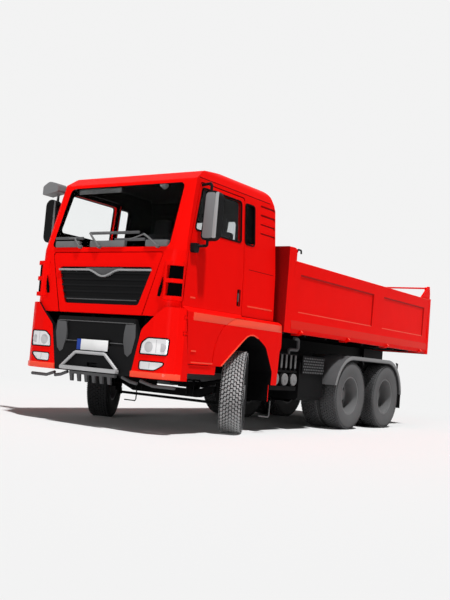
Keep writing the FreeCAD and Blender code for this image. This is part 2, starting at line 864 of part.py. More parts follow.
def door():
    """Left door: as thick as the whole wall, with its window cut."""
    skin = prism(skin_points(), "xz", -1500, 100)
    body = skin.common(prism(door_points(0), "yz", 900, 1400))
    body = body.cut(prism(window_points(), "yz", 900, 1400))
    pocket = prism([(-215, 1590, 15), (-150, 1590, 15), (-150, 1790, 15), (-215, 1790, 15)],
                   "yz", cab_belt_half - 12, 1400)
    body = body.cut(pocket)
    for height in door_eyes:
        body = body.fuse(door_eye(height))
    bore = rod(V(door_hinge_x, door_hinge_y, 900), V(door_hinge_x, door_hinge_y, shoulder_edge),
               door_pin_radius + shaft_clearance)
    return body.cut(bore).removeSplitter()


def door_glass():
    """Left door window."""
    return side_sheet(glass_inset, glass_wall).common(prism(window_points(), "yz", 900, 1400))


def flap_points(grow):
    """Front flap in front view."""
    g = grow
    return [(-flap_low_half - g, cab_nose_bottom - g), (flap_low_half + g, cab_nose_bottom - g),
            (flap_top_half + g, flap_top + g, 30), (-flap_top_half - g, flap_top + g, 30)]


def grille_points(grow):
    """Grille opening in front view."""
    g = grow
    return [(-grille_low_half - g, grille_low - g, 50), (grille_low_half + g, grille_low - g, 50),
            (grille_top_half + g, grille_top + g, 30), (-grille_top_half - g, grille_top + g, 30)]


def flap_pin(radius, low, high):
    """Both hinge pins of the flap, between two distances from the middle."""
    z = flap_top - flap_hinge_drop
    y = nose_y(z, flap_hinge_depth)
    return [rod(V(side * low, y, z), V(side * high, y, z), radius) for side in (-1, 1)]


def front_flap():
    """Lid below the windscreen with the grille opening."""
    sheet = nose_sheet(0, flap_wall, cab_nose_bottom, screen_bottom).common(cab_hull(0))
    body = sheet.common(prism(flap_points(0), "xz", cab_front - 200, cab_front + 300))
    body = body.cut(prism(grille_points(0), "xz", cab_front - 200, cab_front + 300))
    for bore in flap_pin(flap_pin_radius + shaft_clearance, flap_top_half - 40, flap_top_half + 40):
        body = body.cut(bore)
    return body


def grille():
    """Slats and frame in the flap's opening."""
    opening = prism(grille_points(0), "xz", cab_front - 200, cab_front + 300)
    low = grille_low - 20
    high = grille_top + 20
    parts = [nose_sheet(34, flap_wall - 34, low, high).common(opening)]
    count = 5
    pitch = (grille_top - grille_low) / (count + 1)
    bars = nose_sheet(10, 30, low, high).common(opening)
    for index in range(count):
        height = grille_low + pitch * (index + 1)
        parts.append(bars.common(block(-900, 900, cab_front - 100, cab_front + 200,
                                       height - 12, height + 12)))
    return joined(parts)


def dashboard():
    """Dashboard with steering column and wheel."""
    depth = flap_wall + flap_gap + fire_wall
    body = prism([(nose_y(1560, depth), 1560), (nose_y(nose_bend, depth), nose_bend),
                  (nose_y(2085, depth), 2085), (-1010, 2085, 60), (-930, 1960, 60), (-980, 1560)],
                 "yz", -1035, 1035)
    column = rod(V(480, -1040, 1960), V(480, -800, 2070), 40)
    wheel = Part.makeTorus(220, 17, V(0, 0, 0), V(0, 0, 1))
    spoke = block(-215, 215, -20, 20, -10, 10)
    boss = Part.makeCylinder(60, 40, V(0, 0, -20))
    rim = joined([wheel, spoke, boss])
    rim.rotate(V(0, 0, 0), V(1, 0, 0), -65)
    rim.translate(V(480, -800, 2075))
    return joined([body, column, rim])


def seats():
    """Two seats on the cab floor."""
    floor = cab_floor + cab_wall
    left = joined([block(330, 630, -420, 20, floor, floor + 330),
                   prism([(-520, floor + 330, 40), (60, floor + 330, 40), (60, floor + 460, 40),
                          (-520, floor + 470, 50)], "yz", 230, 730),
                   prism([(20, floor + 400, 30), (130, floor + 400, 30), (250, floor + 1080, 40),
                          (150, floor + 1080, 40)], "yz", 240, 720),
                   prism([(165, floor + 1060, 20), (235, floor + 1060, 20), (260, floor + 1270, 30),
                          (190, floor + 1270, 30)], "yz", 350, 610)])
    return both_sides(left)


def cab_mounts():
    """Front brackets and rear hoop between the frame and the cab floor."""
    front = block(frame_x - frame_flange, frame_x, -1150, -1050, frame_top, cab_nose_bottom)
    post = block(frame_x - frame_flange, frame_x, 560, 640, frame_top, 1400)
    hoop = block(-frame_x, frame_x, 560, 640, 1400, cab_floor)
    return apart([front, other_side(front), joined([post, hoop, other_side(post)])])


def cab_steps():
    """Two treads in a housing behind each door skirt."""
    inner = 900.0
    outer = skirt_x - skirt_wall - 65
    front = sill_front + 15
    rear = -765.0
    top = cab_nose_bottom - 4
    back = block(inner, inner + 10, front, rear, sill_low + 10, top)
    parts = [back, block(inner, outer, front, front + 10, sill_low + 10, top)]
    for low in (sill_low + 115, 1050.0, 1270.0):
        parts.append(block(inner, outer, front, rear, low, low + 14))
    left = joined(parts)
    arm = block(frame_x, inner, -1000, -940, frame_top - 120, frame_top - 60)
    return both_sides(joined([left, arm]))


def corner_vane():
    """Left air vane, proud of the rounded front corner, with two slots."""
    plan = [(930, cab_front + 20), (975, cab_front - 34, 24), (1085, cab_front - 12, 60),
            (1156, cab_front + 62, 40), (1156, cab_front + 108), (1050, cab_front + 108)]
    body = prism(plan, "xy", vane_low, vane_high).cut(cab_hull(0))
    count = 2
    bar = 46.0
    pitch = (vane_high - vane_low - bar) / count
    for index in range(count):
        low = vane_low + bar + pitch * index
        body = body.cut(block(1000, 1300, cab_front - 100, cab_front + 84, low, low + pitch - bar))
    return body


# Fenders, bumper and lamps

def fender_skin():
    """Left fender plate with the arch and the rear strip."""
    g = seam_gap
    plate = prism([(-740 + g + 2, sill_low + 104), (-700 + g + 2, shoulder_edge - 6, 500 - g),
                   (door_rear + g, shoulder_edge - 6), (door_rear + g, shoulder_top),
                   (fender_rear, shoulder_top, 20),
                   (fender_rear + 30, 1130, 10), (fender_rear, 1075), (fender_rear, fender_low, 10),
                   (arch_rear, fender_low, 10), (arch_rear, 800, 80), (440, 1115, 200),
                   (170, arch_top, 150), (0, arch_top, 150), (arch_front, sill_low + 104)], "yz", 1100, 1400)
    skin = prism(skin_points(), "xz", -1500, 1000)
    return skin.common(plate)


def liner():
    """Inner arch over the left front wheel."""
    w = liner_wall
    ahead = liner_lead
    band = prism([(arch_front - ahead, sill_low + 104), (-ahead, arch_top, 150), (170, arch_top, 150),
                  (440, 1115, 200), (arch_rear, 800, 80), (arch_rear, fender_low),
                  (arch_rear + w, fender_low), (arch_rear + w, 805, 80 + w), (445, 1115 + w, 200 + w),
                  (175, arch_top + w, 150 + w), (-ahead - 5, arch_top + w, 150 + w),
                  (arch_front - ahead - w, sill_low + 104)], "yz", liner_x, skirt_x - skirt_wall + 20)
    return band


def front_fenders():
    """Fenders with liners, sills and their stays."""
    skin = fender_skin()
    sill = prism([(sill_front, sill_low, 10), (-650, sill_low, 10), (-640, sill_low + 104),
                  (sill_front, sill_low + 104)], "yz", equipment_x, skirt_x)
    stay = rod(V(frame_x, arch_rear + 40, 760), V(skirt_x - skirt_wall + 24, arch_rear + 40, 760), 28)
    front_stay = rod(V(frame_x, arch_front - 120, 770), V(skirt_x - skirt_wall, arch_front - 120, 770), 28)
    left = joined([skin, liner(), sill, stay, front_stay])
    return both_sides(left)


def lamp_plan():
    """Plan of the left lamp housing's outer skin, run on inward and rearward."""
    return [(300, bumper_face), (880, bumper_face, 150), (1075, bumper_face + 35, 150),
            (1170, bumper_face + 95, 60), (shoulder_x + 2, bumper_face + 150, 20), (shoulder_x + 2, -900),
            (300, -900)]


def lamp_front():
    """Front view of the left lamp housing."""
    return [(housing_low_x, bumper_low), (skirt_x + 60, bumper_low, 20), (skirt_x + 60, shoulder_edge),
            (1180, dome_top, 30), (1010, dome_top, 90), (housing_high_x, 1180, 110)]


def lamp_body(depth):
    """Wall of the housing, its skin moved in by a depth."""
    outer = prism(moved_in(lamp_plan(), depth), "xy", bumper_low, dome_top)
    hollow = prism(moved_in(lamp_plan(), housing_wall), "xy", bumper_low - 1, dome_top + 1)
    limit = block(housing_low_x, 1400, -1700, sill_front - 12, bumper_low, dome_top)
    seam = prism(door_points(seam_gap), "yz", 900, 1400)
    return outer.cut(hollow).common(limit).cut(seam)


def headlamp_points():
    """Left headlamp in front view."""
    return [(715, 900, 20), (1088, 900, 20), (1098, 1090, 12), (820, 1090, 90), (735, 1030, 40)]


def fog_lamp_points():
    """Left fog lamp in front view."""
    return [(725, 722, 14), (945, 722, 30), (1055, 790, 20), (1055, 822, 8), (725, 822, 14)]


def lamp_housings():
    """Red corner pieces of the bumper with their lamp pockets."""
    shell = lamp_body(0).common(prism(lamp_front(), "xz", -1700, -1000))
    for points in (headlamp_points(), fog_lamp_points()):
        shell = shell.cut(prism(points, "xz", -1700, -1300))
    for height in door_eyes:
        shell = shell.cut(door_notch(height))
    shell = shell.cut(cab_hull(-housing_gap))
    return both_sides(joined([shell] + door_pins()))


def headlamps():
    """Head and fog lamps that follow the housing's face."""
    body = lamp_body(6)
    lamps = [body.common(prism(points, "xz", -1700, -1300))
             for points in (headlamp_points(), fog_lamp_points())]
    return apart(lamps + [other_side(lamp) for lamp in lamps])


def bumper():
    """Black middle bumper with fins, frame brackets and a towing jaw."""
    face = bumper_face
    back = face + bumper_wall
    panel = prism([(-housing_low_x, bumper_low), (housing_low_x, bumper_low), (housing_high_x - 25, 1080),
                   (housing_low_x, bumper_top, 20), (-housing_low_x, bumper_top, 20),
                   (-housing_high_x + 25, 1080)], "xz", face, back)
    panel = panel.cut(prism([(-500, 960, 20), (500, 960, 20), (520, 1230, 20), (-520, 1230, 20)],
                            "xz", face - 10, face + 22))
    parts = [panel]
    for side in (-1, 1):
        low = side * frame_x if side < 0 else frame_x - frame_flange
        high = low + frame_flange
        parts.append(block(low, high, back, frame_front, frame_top - 240, frame_top - 40))
    jaw = block(-55, 55, back - 20, frame_front, 655, 735)
    jaw = jaw.cut(block(-60, 60, back - 30, jaw_y() + 45, 680, 710))
    parts[0] = panel.cut(block(-80, 80, face - 10, back + 10, 643, 747))
    parts.append(jaw)
    for side in (-1, 1):
        x0, x1 = sorted((side * 50, side * 85))
        parts.append(block(x0, x1, back - 20, frame_front, 643, 747))
    body = joined(parts)
    return body.cut(rod(V(0, jaw_y(), 500), V(0, jaw_y(), 745), tow_pin_radius))


def jaw_y():
    """Station of the towing pin."""
    return (bumper_face + bumper_wall + frame_front) / 2


def step_bar():
    """Bent tube step with a wide tread."""
    low = 672.0
    loop = bent_rod([V(-440, step_bar_y, low + 16), V(-235, step_bar_y, 860), V(235, step_bar_y, 860),
                     V(440, step_bar_y, low + 16)], step_bar_radius, 60)
    tread = prism([(-452, low - 26, 20), (452, low - 26, 20), (452, low + 20, 18), (-452, low + 20, 18)],
                  "xz", step_bar_y - 32, step_bar_y + 26)
    feet = [block(side * 300 - 24, side * 300 + 24, step_bar_y + 20, bumper_face, low - 20, low + 14)
            for side in (-1, 1)]
    return joined([loop, tread] + feet)


def skid_comb():
    """Comb-shaped guard below the bumper."""
    half = 365.0
    parts = [block(-half, half, bumper_face + 10, bumper_face + 50, bumper_low - 34, bumper_low)]
    pitch = 2 * half / comb_teeth
    for index in range(comb_teeth):
        left = -half + pitch * index
        parts.append(prism([(left, bumper_low - 34), (left + 52, bumper_low - 34),
                            (left + 60, bumper_low - 120, 8), (left + 22, bumper_low - 120, 8)],
                           "xz", bumper_face + 14, bumper_face + 44))
    return joined(parts)


def mirror():
    """Left mirror with its arms and base."""
    inner = mirror_outer - mirror_width
    head = prism([(inner + 10, mirror_low, 60), (mirror_outer, mirror_low, 90),
                  (mirror_outer, mirror_high, 90),
                  (inner + 60, mirror_high, 90)], "xz", mirror_y, mirror_y + mirror_depth)
    foot = belt_z + 35
    base = prism([(mirror_y - 110, foot, 20), (mirror_y - 20, foot, 20), (mirror_y - 5, foot + 110, 20),
                  (mirror_y - 105, foot + 110, 20)], "yz", cab_belt_half - 17, cab_belt_half + 55)
    x = mirror_outer - 160
    y = mirror_y + mirror_depth / 2
    top = door_top - 25
    low_arm = bent_rod([V(cab_belt_half + 25, mirror_y - 60, foot + 75), V(x, y, foot + 95),
                        V(x, y, mirror_low + 40)], mirror_arm_radius, 20)
    high_arm = bent_rod([V(cab_roof_half + 2, mirror_y + 110, top), V(x, y, top),
                         V(x, y, mirror_high - 35)], mirror_arm_radius, 40)
    return joined([head, base, low_arm, high_arm]).cut(prism(skin_points(), "xz", -1500, 100))


def kerb_mirror():
    """Ramp mirror above the right mirror."""
    y = mirror_y + mirror_depth / 2
    x = -mirror_outer
    low = mirror_high + 45
    return prism([(x, low, 20), (x + 280, low + 45, 20), (x + 260, low + 150, 50), (x + 110, low + 180, 90),
                  (x, low + 120, 40)], "xz", y - 130, y + 40)


# Bed

def headboard():
    """Front wall of the bed with its posts, brackets and hook."""
    board = prism([(-bed_half, bed_low), (bed_half, bed_low), (bed_half, post_top, 12),
                   (-bed_half, post_top, 12)], "xz", bed_front, bed_front + 55)
    parts = [board]
    for side in (-1, 1):
        x0, x1 = sorted((side * (bed_half - 90), side * bed_half))
        parts.append(block(x0, x1, bed_front + 50, bed_front + headboard_depth, bed_low, post_top))
        x0, x1 = sorted((side * (bed_half - wall_thickness - 50), side * (bed_half - wall_thickness - 10)))
        parts.append(prism([(bed_front + 50, 2150), (bed_front + headboard_depth + 150, 2330),
                            (bed_front + headboard_depth + 150, post_top + 8), (bed_front + 50, post_top)],
                           "yz", x0, x1))
    for x in (-600.0, 0.0, 600.0):
        parts.append(prism([(bed_front + 50, bed_low + 80), (bed_front + 110, bed_low + 80),
                            (bed_front + 50, post_top - 60)], "yz", x - 25, x + 25))
    return parts


def bed_hook():
    """Left hook for the load cover."""
    y = bed_front + headboard_depth + 140
    x = bed_half - wall_thickness - 30
    return bent_rod([V(x, y, post_top - 70), V(x, y + 60, post_top + 10), V(x, y + 140, post_top + 10),
                     V(x, y + 150, post_top - 40)], 12, 14)


def rear_post():
    """Left rear corner post with its triangular ear."""
    inner = bed_half - wall_thickness
    front = bed_rear - rear_post_depth
    post = block(inner, bed_half, front, bed_rear, bed_low, bed_top + 12)
    ear = prism([(bed_rear - 390, bed_top + 11), (bed_rear, bed_top + 11), (bed_rear, 2440, 10),
                 (bed_rear - 36, ear_top, 14), (bed_rear - 90, ear_top, 14)], "yz", inner, inner + 34)
    pin = rod(V(inner - 10, gate_hinge_y, gate_hinge_z), V(inner + 50, gate_hinge_y, gate_hinge_z),
              gate_pin_radius + shaft_clearance)
    return post.fuse(ear).cut(pin)


def bed_floor():
    """Floor, headboard, rear posts, bearers, long beams and hinge lugs in one weldment."""
    inner = bed_half - wall_thickness - floor_gap
    rear = bed_rear - rear_post_depth
    parts = [block(-inner, inner, bed_front, rear + 1, floor_z - floor_wall, floor_z)]
    parts += headboard()
    parts += [bed_hook(), other_side(bed_hook()), rear_post(), other_side(rear_post())]
    low = floor_z - floor_wall - bearer_depth
    parts.append(block(-bed_half + 1, bed_half - 1, rear, bed_rear, low, floor_z))
    for side in (-1, 1):
        near = hoist_radii[-1] + hoist_lug_gap
        x0, x1 = sorted((side * near, side * (near + hoist_lug_wall)))
        parts.append(block(x0, x1, hoist_foot_y - 60, hoist_foot_y + 60, hoist_bottom() + hoist_length + 22,
                           floor_z - floor_wall + 1))
    for station in hinge_stations():
        lugs = hinge_lugs(station)
        parts += [lugs, other_side(lugs)]
    count = 8
    pitch = (rear - 200 - bed_front) / count
    for index in range(count):
        station = bed_front + 60 + pitch * index
        parts.append(block(-inner, inner, station, station + bearer_width, low, floor_z - floor_wall + 1))
    for side in (-1, 1):
        x0 = side * beam_half - bed_beam_width / 2
        parts.append(block(x0, x0 + bed_beam_width, bed_front + 60, rear, subframe_top, low + 1))
        lug = prism([(tip_hinge_y - 120, subframe_top + 60), (tip_hinge_y + 120, subframe_top + 60),
                     (tip_hinge_y + 60, tip_hinge_z - 70, 50), (tip_hinge_y - 60, tip_hinge_z - 70, 50)],
                    "yz", side * 450 - 20, side * 450 + 20)
        parts.append(lug)
        x0, x1 = sorted((side * (beam_half - 10), side * 470))
        parts.append(block(x0, x1, tip_hinge_y - 120, tip_hinge_y + 120, subframe_top + 50, low + 1))
    body = joined(parts)
    for side in (-1, 1):
        start = V(side * 450 - 60, tip_hinge_y, tip_hinge_z)
        body = body.cut(rod(start, start + V(120, 0, 0), tip_pin_radius + shaft_clearance))
    return body


def hinge_stations():
    """Stations of the drop side's hinges."""
    front = bed_front + headboard_depth + 300
    rear = bed_rear - rear_post_depth - 300
    count = 4
    return [front + (rear - front) * index / (count - 1) for index in range(count)]


def hinge_lugs(station):
    """Two arms under the floor's left edge with the drop side's hinge pin between them."""
    edge = bed_half - wall_thickness - floor_gap
    high = floor_z - floor_wall + 1
    reach = wall_ear_half + wall_ear_gap + wall_lug
    parts = [rod(V(wall_hinge_x, station - reach, wall_hinge_z),
                 V(wall_hinge_x, station + reach, wall_hinge_z), wall_pin_radius)]
    for start in (station - reach, station + reach - wall_lug):
        parts.append(prism([(edge - 70, 1322), (edge, 1322), (wall_hinge_x + 8, wall_hinge_z - 13, 6),
                            (wall_hinge_x + 8, wall_hinge_z + 13, 10), (edge + 20, wall_hinge_z + 8),
                            (edge, wall_hinge_z + 2), (edge, high), (edge - 70, high)],
                           "xz", start, start + wall_lug))
    return joined(parts)


def side_wall():
    """Left drop side with two recessed panels and a folded lower edge."""
    front = bed_front + headboard_depth + 8
    rear = bed_rear - rear_post_depth - 8
    inner = bed_half - wall_thickness
    section = [(inner, bed_low), (bed_half - 14, bed_low, 6), (bed_half, bed_low + 60), (bed_half, 1490),
               (bed_half - 12, 1520), (bed_half, bed_top, 8), (inner, bed_top, 8)]
    wall = prism(section, "xz", front, rear)
    for y0, y1 in ((1160.0, 3600.0), (3980.0, rear - 200)):
        face = outline([(y0, 1620), (y1, 1620), (y1, 2165), (y0, 2165)], "yz")
        small = outline([(y0 + 30, 1650), (y1 - 30, 1650), (y1 - 30, 2140), (y0 + 30, 2140)], "yz")
        face.translate(V(bed_half + 2, 0, 0))
        small.translate(V(bed_half - recess_depth, 0, 0))
        wall = wall.cut(Part.makeLoft([face.OuterWire, small.OuterWire], True, True))
    notch = wall_ear_half + wall_ear_gap + wall_lug + 8
    for y in hinge_stations():
        wall = wall.cut(block(inner - 10, wall_hinge_x + 40, y - notch, y + notch,
                              bed_low - 10, bed_low + 42))
        ear = prism([(bed_half - 34, bed_low + 50), (bed_half, bed_low + 50),
                     (wall_hinge_x + 15, wall_hinge_z + 8, 8), (wall_hinge_x + 15, wall_hinge_z - 15, 12),
                     (wall_hinge_x - 15, wall_hinge_z - 15, 12)],
                    "xz", y - wall_ear_half, y + wall_ear_half)
        wall = wall.fuse(ear)
        wall = wall.cut(rod(V(wall_hinge_x, y - 30, wall_hinge_z), V(wall_hinge_x, y + 30, wall_hinge_z),
                            wall_pin_radius + shaft_clearance))
    return wall.removeSplitter()


def tailgate():
    """Rear gate hung on its top tube."""
    inner = bed_half - wall_thickness - 10
    front = bed_rear - 62.0
    low = floor_z + 8
    parts = [block(-inner, inner, front, front + 45, low, bed_top)]
    for x in (-900.0, -300.0, 300.0, 900.0):
        parts.append(block(x - 40, x + 40, front + 40, front + 62, low, bed_top))
    for z in (low, bed_top - 80):
        parts.append(block(-inner, inner, front + 40, front + 62, z, z + 80))
    parts.append(rod(V(-inner - 34, gate_hinge_y, gate_hinge_z),
                     V(inner + 34, gate_hinge_y, gate_hinge_z), gate_pin_radius))
    for side in (-1, 1):
        x0, x1 = sorted((side * (inner - 40), side * (inner - 14)))
        parts.append(prism([(front, bed_top - 60), (front + 60, bed_top - 60),
                            (gate_hinge_y + 28, gate_hinge_z + 20, 20),
                            (gate_hinge_y - 28, gate_hinge_z + 20, 20)], "yz", x0, x1))
    return joined(parts)


# Subframe and hoist

def subframe():
    """Tipping subframe with the hinge shaft and the hoist cradle."""
    rear = tip_hinge_y + 25
    parts = []
    for side in (-1, 1):
        x0 = side * beam_half - bed_beam_width / 2
        parts.append(block(x0, x0 + bed_beam_width, bed_front + 60, rear, frame_top, subframe_top - 12))
    last = tip_hinge_y - tip_pin_radius - bed_beam_width - 20
    for station in (bed_front + 60, hoist_foot_y - 330, hoist_foot_y + 260,
                    wheelbase + subframe_member, last):
        parts.append(block(-beam_half, beam_half, station, station + bed_beam_width,
                           frame_top, subframe_top - 40))
    shaft = rod(V(-480, tip_hinge_y, tip_hinge_z), V(480, tip_hinge_y, tip_hinge_z), tip_pin_radius)
    parts.append(shaft)
    for side in (-1, 1):
        x0, x1 = sorted((side * 180, side * (beam_half + 5)))
        parts.append(block(x0, x1, hoist_foot_y - 45, hoist_foot_y + 45,
                           hoist_foot_z - 40, hoist_foot_z + 50))
    body = joined(parts)
    return body.cut(rod(V(-260, hoist_foot_y, hoist_foot_z), V(260, hoist_foot_y, hoist_foot_z),
                        hoist_pin_radius + shaft_clearance))


def hoist_bottom():
    """Height of the barrel's foot, upright."""
    return hoist_foot_z - hoist_below


def hoist_barrel():
    """Outer cylinder in its trunnion ring, upright."""
    outer = hoist_radii[0]
    bottom = hoist_bottom()
    barrel = rod(V(0, hoist_foot_y, bottom), V(0, hoist_foot_y, bottom + hoist_length), outer)
    bore = rod(V(0, hoist_foot_y, bottom + 14), V(0, hoist_foot_y, bottom + hoist_length + 1),
               hoist_radii[1] + hoist_clearance)
    pin = rod(V(-240, hoist_foot_y, hoist_foot_z), V(240, hoist_foot_y, hoist_foot_z), hoist_pin_radius)
    ring = rod(V(0, hoist_foot_y, hoist_foot_z - 35), V(0, hoist_foot_y, hoist_foot_z + 35), outer + 20)
    return joined([barrel, pin, ring]).cut(bore)


def hoist_stage(index):
    """One telescopic stage inside the barrel, the last with its eye."""
    radius = hoist_radii[index]
    bottom = hoist_bottom() + 14 + hoist_step * (index - 1) + 0.3 * index
    top = hoist_bottom() + hoist_length + 4 * index
    body = rod(V(0, hoist_foot_y, bottom), V(0, hoist_foot_y, top), radius)
    if index < len(hoist_radii) - 1:
        return body.cut(rod(V(0, hoist_foot_y, bottom + hoist_step), V(0, hoist_foot_y, top + 1),
                            hoist_radii[index + 1] + hoist_clearance))
    half = radius - 12
    eye = rod(V(-half, hoist_foot_y, top + 22), V(half, hoist_foot_y, top + 22), hoist_eye_radius)
    return joined([body, eye])


# Rear mudguards and chassis equipment

def guard_band(outer, inner, x0, x1):
    """Arch over both rear wheels between two radii."""
    first = wheelbase
    last = wheelbase + tandem_spacing
    z = tyre_radius
    def ring(radius):
        low_front = V(0, first - math.sqrt(radius ** 2 - 150 ** 2), z + 150)
        low_rear = V(0, last + math.sqrt(radius ** 2 - 40 ** 2), z + 40)
        turn = math.sqrt(0.5) * radius
        return (low_front, V(0, first - turn, z + turn), V(0, first, z + radius),
                V(0, last, z + radius), V(0, last + turn, z + turn), low_rear)
    a = ring(outer)
    b = ring(inner)
    edges = [Part.Arc(a[0], a[1], a[2]).toShape(), Part.LineSegment(a[2], a[3]).toShape(),
             Part.Arc(a[3], a[4], a[5]).toShape(), Part.LineSegment(a[5], b[5]).toShape(),
             Part.Arc(b[5], b[4], b[3]).toShape(), Part.LineSegment(b[3], b[2]).toShape(),
             Part.Arc(b[2], b[1], b[0]).toShape(), Part.LineSegment(b[0], a[0]).toShape()]
    face = Part.Face(Part.Wire(edges))
    face.translate(V(x0, 0, 0))
    return face.extrude(V(x1 - x0, 0, 0))


def rear_mudguards():
    """Arched guards with lips, stays and flaps."""
    inner = guard_radius - guard_wall
    band = guard_band(guard_radius, inner, guard_inner_x, guard_outer_x)
    lip = guard_band(guard_radius, guard_radius - guard_lip, guard_outer_x - 14, guard_outer_x)
    parts = [band, lip]
    reach = inner - guard_bar + 1
    for centre, angle in ((wheelbase, 142.0), (wheelbase + tandem_spacing, 40.0)):
        y = centre + reach * math.cos(math.radians(angle))
        z = tyre_radius + reach * math.sin(math.radians(angle))
        parts.append(rod(V(frame_x, y, z), V(guard_outer_x - 20, y, z), guard_bar))
    middle = wheelbase + tandem_spacing / 2
    parts.append(rod(V(beam_half + bed_beam_width / 2, middle, tyre_radius + reach),
                     V(guard_outer_x - 20, middle, tyre_radius + reach), guard_bar))
    last = wheelbase + tandem_spacing
    edge = last + math.sqrt(guard_radius ** 2 - 40 ** 2)
    parts.append(block(guard_inner_x + 20, guard_outer_x - 6, edge - 12, edge - 2, 330, tyre_radius + 90))
    return both_sides(joined(parts))


def fuel_tank():
    """Ribbed tank on the right with its brackets."""
    rear = wheelbase - guard_radius - fuel_tank_gap
    body = prism([(-equipment_x, 480, 90), (-equipment_x, 980, 90), (-560, 980, 90), (-560, 480, 90)],
                 "xz", fuel_tank_front, rear)
    parts = [body]
    for station in (fuel_tank_front + 200, rear - 250):
        parts.append(block(-565, -frame_x, station, station + 70, 780, 960))
    neck_y = fuel_tank_front + 250
    neck = rod(V(-850, neck_y, 975), V(-850, neck_y, 1010), 60)
    parts.append(neck)
    return joined(parts)


def air_tanks():
    """Three air tanks across the truck with their carrier and upright bars."""
    parts = []
    for index in range(3):
        y = tank_first_y + tank_spacing * index
        tank = rod(V(520, y, tank_z), V(equipment_x - 40, y, tank_z), tank_radius)
        cap = turned([(equipment_x - 41, 0), (equipment_x - 41, tank_radius),
                      (equipment_x - 12, tank_radius - 22),
                      (equipment_x, 26), (equipment_x, 0)], V(0, y, tank_z))
        parts += [tank, cap]
    y0 = tank_first_y - 110
    y1 = tank_first_y + 2 * tank_spacing + 110
    shelf = tank_z + tank_radius - 4
    parts.append(block(spring_x + spring_width, equipment_x - 30, y0, y1, shelf, shelf + 30))
    parts.append(block(frame_x, spring_x + spring_width + 10, y0 + 120, y0 + 260, shelf, shelf + 30))
    parts.append(block(620, equipment_x - 30, y0, y1, 560, tank_z - tank_radius + 4))
    for index in range(6):
        y = y0 + 20 + index * (y1 - y0 - 80) / 5
        parts.append(block(equipment_x - 80, equipment_x - 40, y, y + 40, shelf + 29, 1050))
    parts.append(block(equipment_x - 80, equipment_x - 40, y0, y1, 1049, 1066))
    return joined(parts)


def fill_pipe():
    """Bent breather pipe with a round cap beside the bed's front."""
    x = equipment_x - 70
    low = tank_first_y + 2 * tank_spacing - 100
    high = low + 260
    return bent_rod([V(x, low, 1066), V(x, low, 1130), V(x, high, 1130), V(x, high, 1290),
                     V(x, high - 120, 1290)], 24, 45)


def silencer():
    """Silencer box with its perforated guard ahead of the mudguard."""
    front = tank_first_y + 2 * tank_spacing + silencer_lead
    rear = wheelbase - guard_radius - silencer_gap
    body = prism([(480, 430, 40), (1090, 430, 60), (1090, 1000, 60), (480, 1000, 40)], "xz", front, rear)
    arm = block(frame_x, 490, front + 200, front + 280, 760, 900)
    plate = block(1104, 1112, front + 40, rear - 30, 800, 1060)
    posts = [block(1080, 1106, y, y + 30, 860, 900) for y in (front + 100, rear - 120)]
    return joined([body, arm, plate] + posts)


def underrun_guard():
    """Rear bar on two frame brackets, with the lamp bar."""
    front = frame_rear + underrun_gap
    rear = front + underrun_depth
    parts = [block(-1000, 1000, front, rear, 410, 510)]
    for side in (-1, 1):
        x0, x1 = sorted((side * (frame_x - frame_flange), side * frame_x))
        parts.append(prism([(frame_rear - 60, frame_top - frame_height),
                            (frame_rear, frame_top - frame_height),
                            (frame_rear, frame_top - 60), (frame_rear + 40, frame_top - 60),
                            (rear, 410), (front, 410)], "yz", x0 + 2, x1 - 2))
    parts.append(block(-1000, 1000, front - 28, front + 10, 560, 620))
    return joined(parts)


def rear_lamps():
    """Tail lamps on the lamp bar behind the underrun guard."""
    front = frame_rear + underrun_gap + 10
    lamp = prism([(640, 540, 20), (980, 540, 20), (980, 660, 20), (640, 660, 20)],
                 "xz", front, front + underrun_depth)
    return both_sides(lamp)


# Assembly

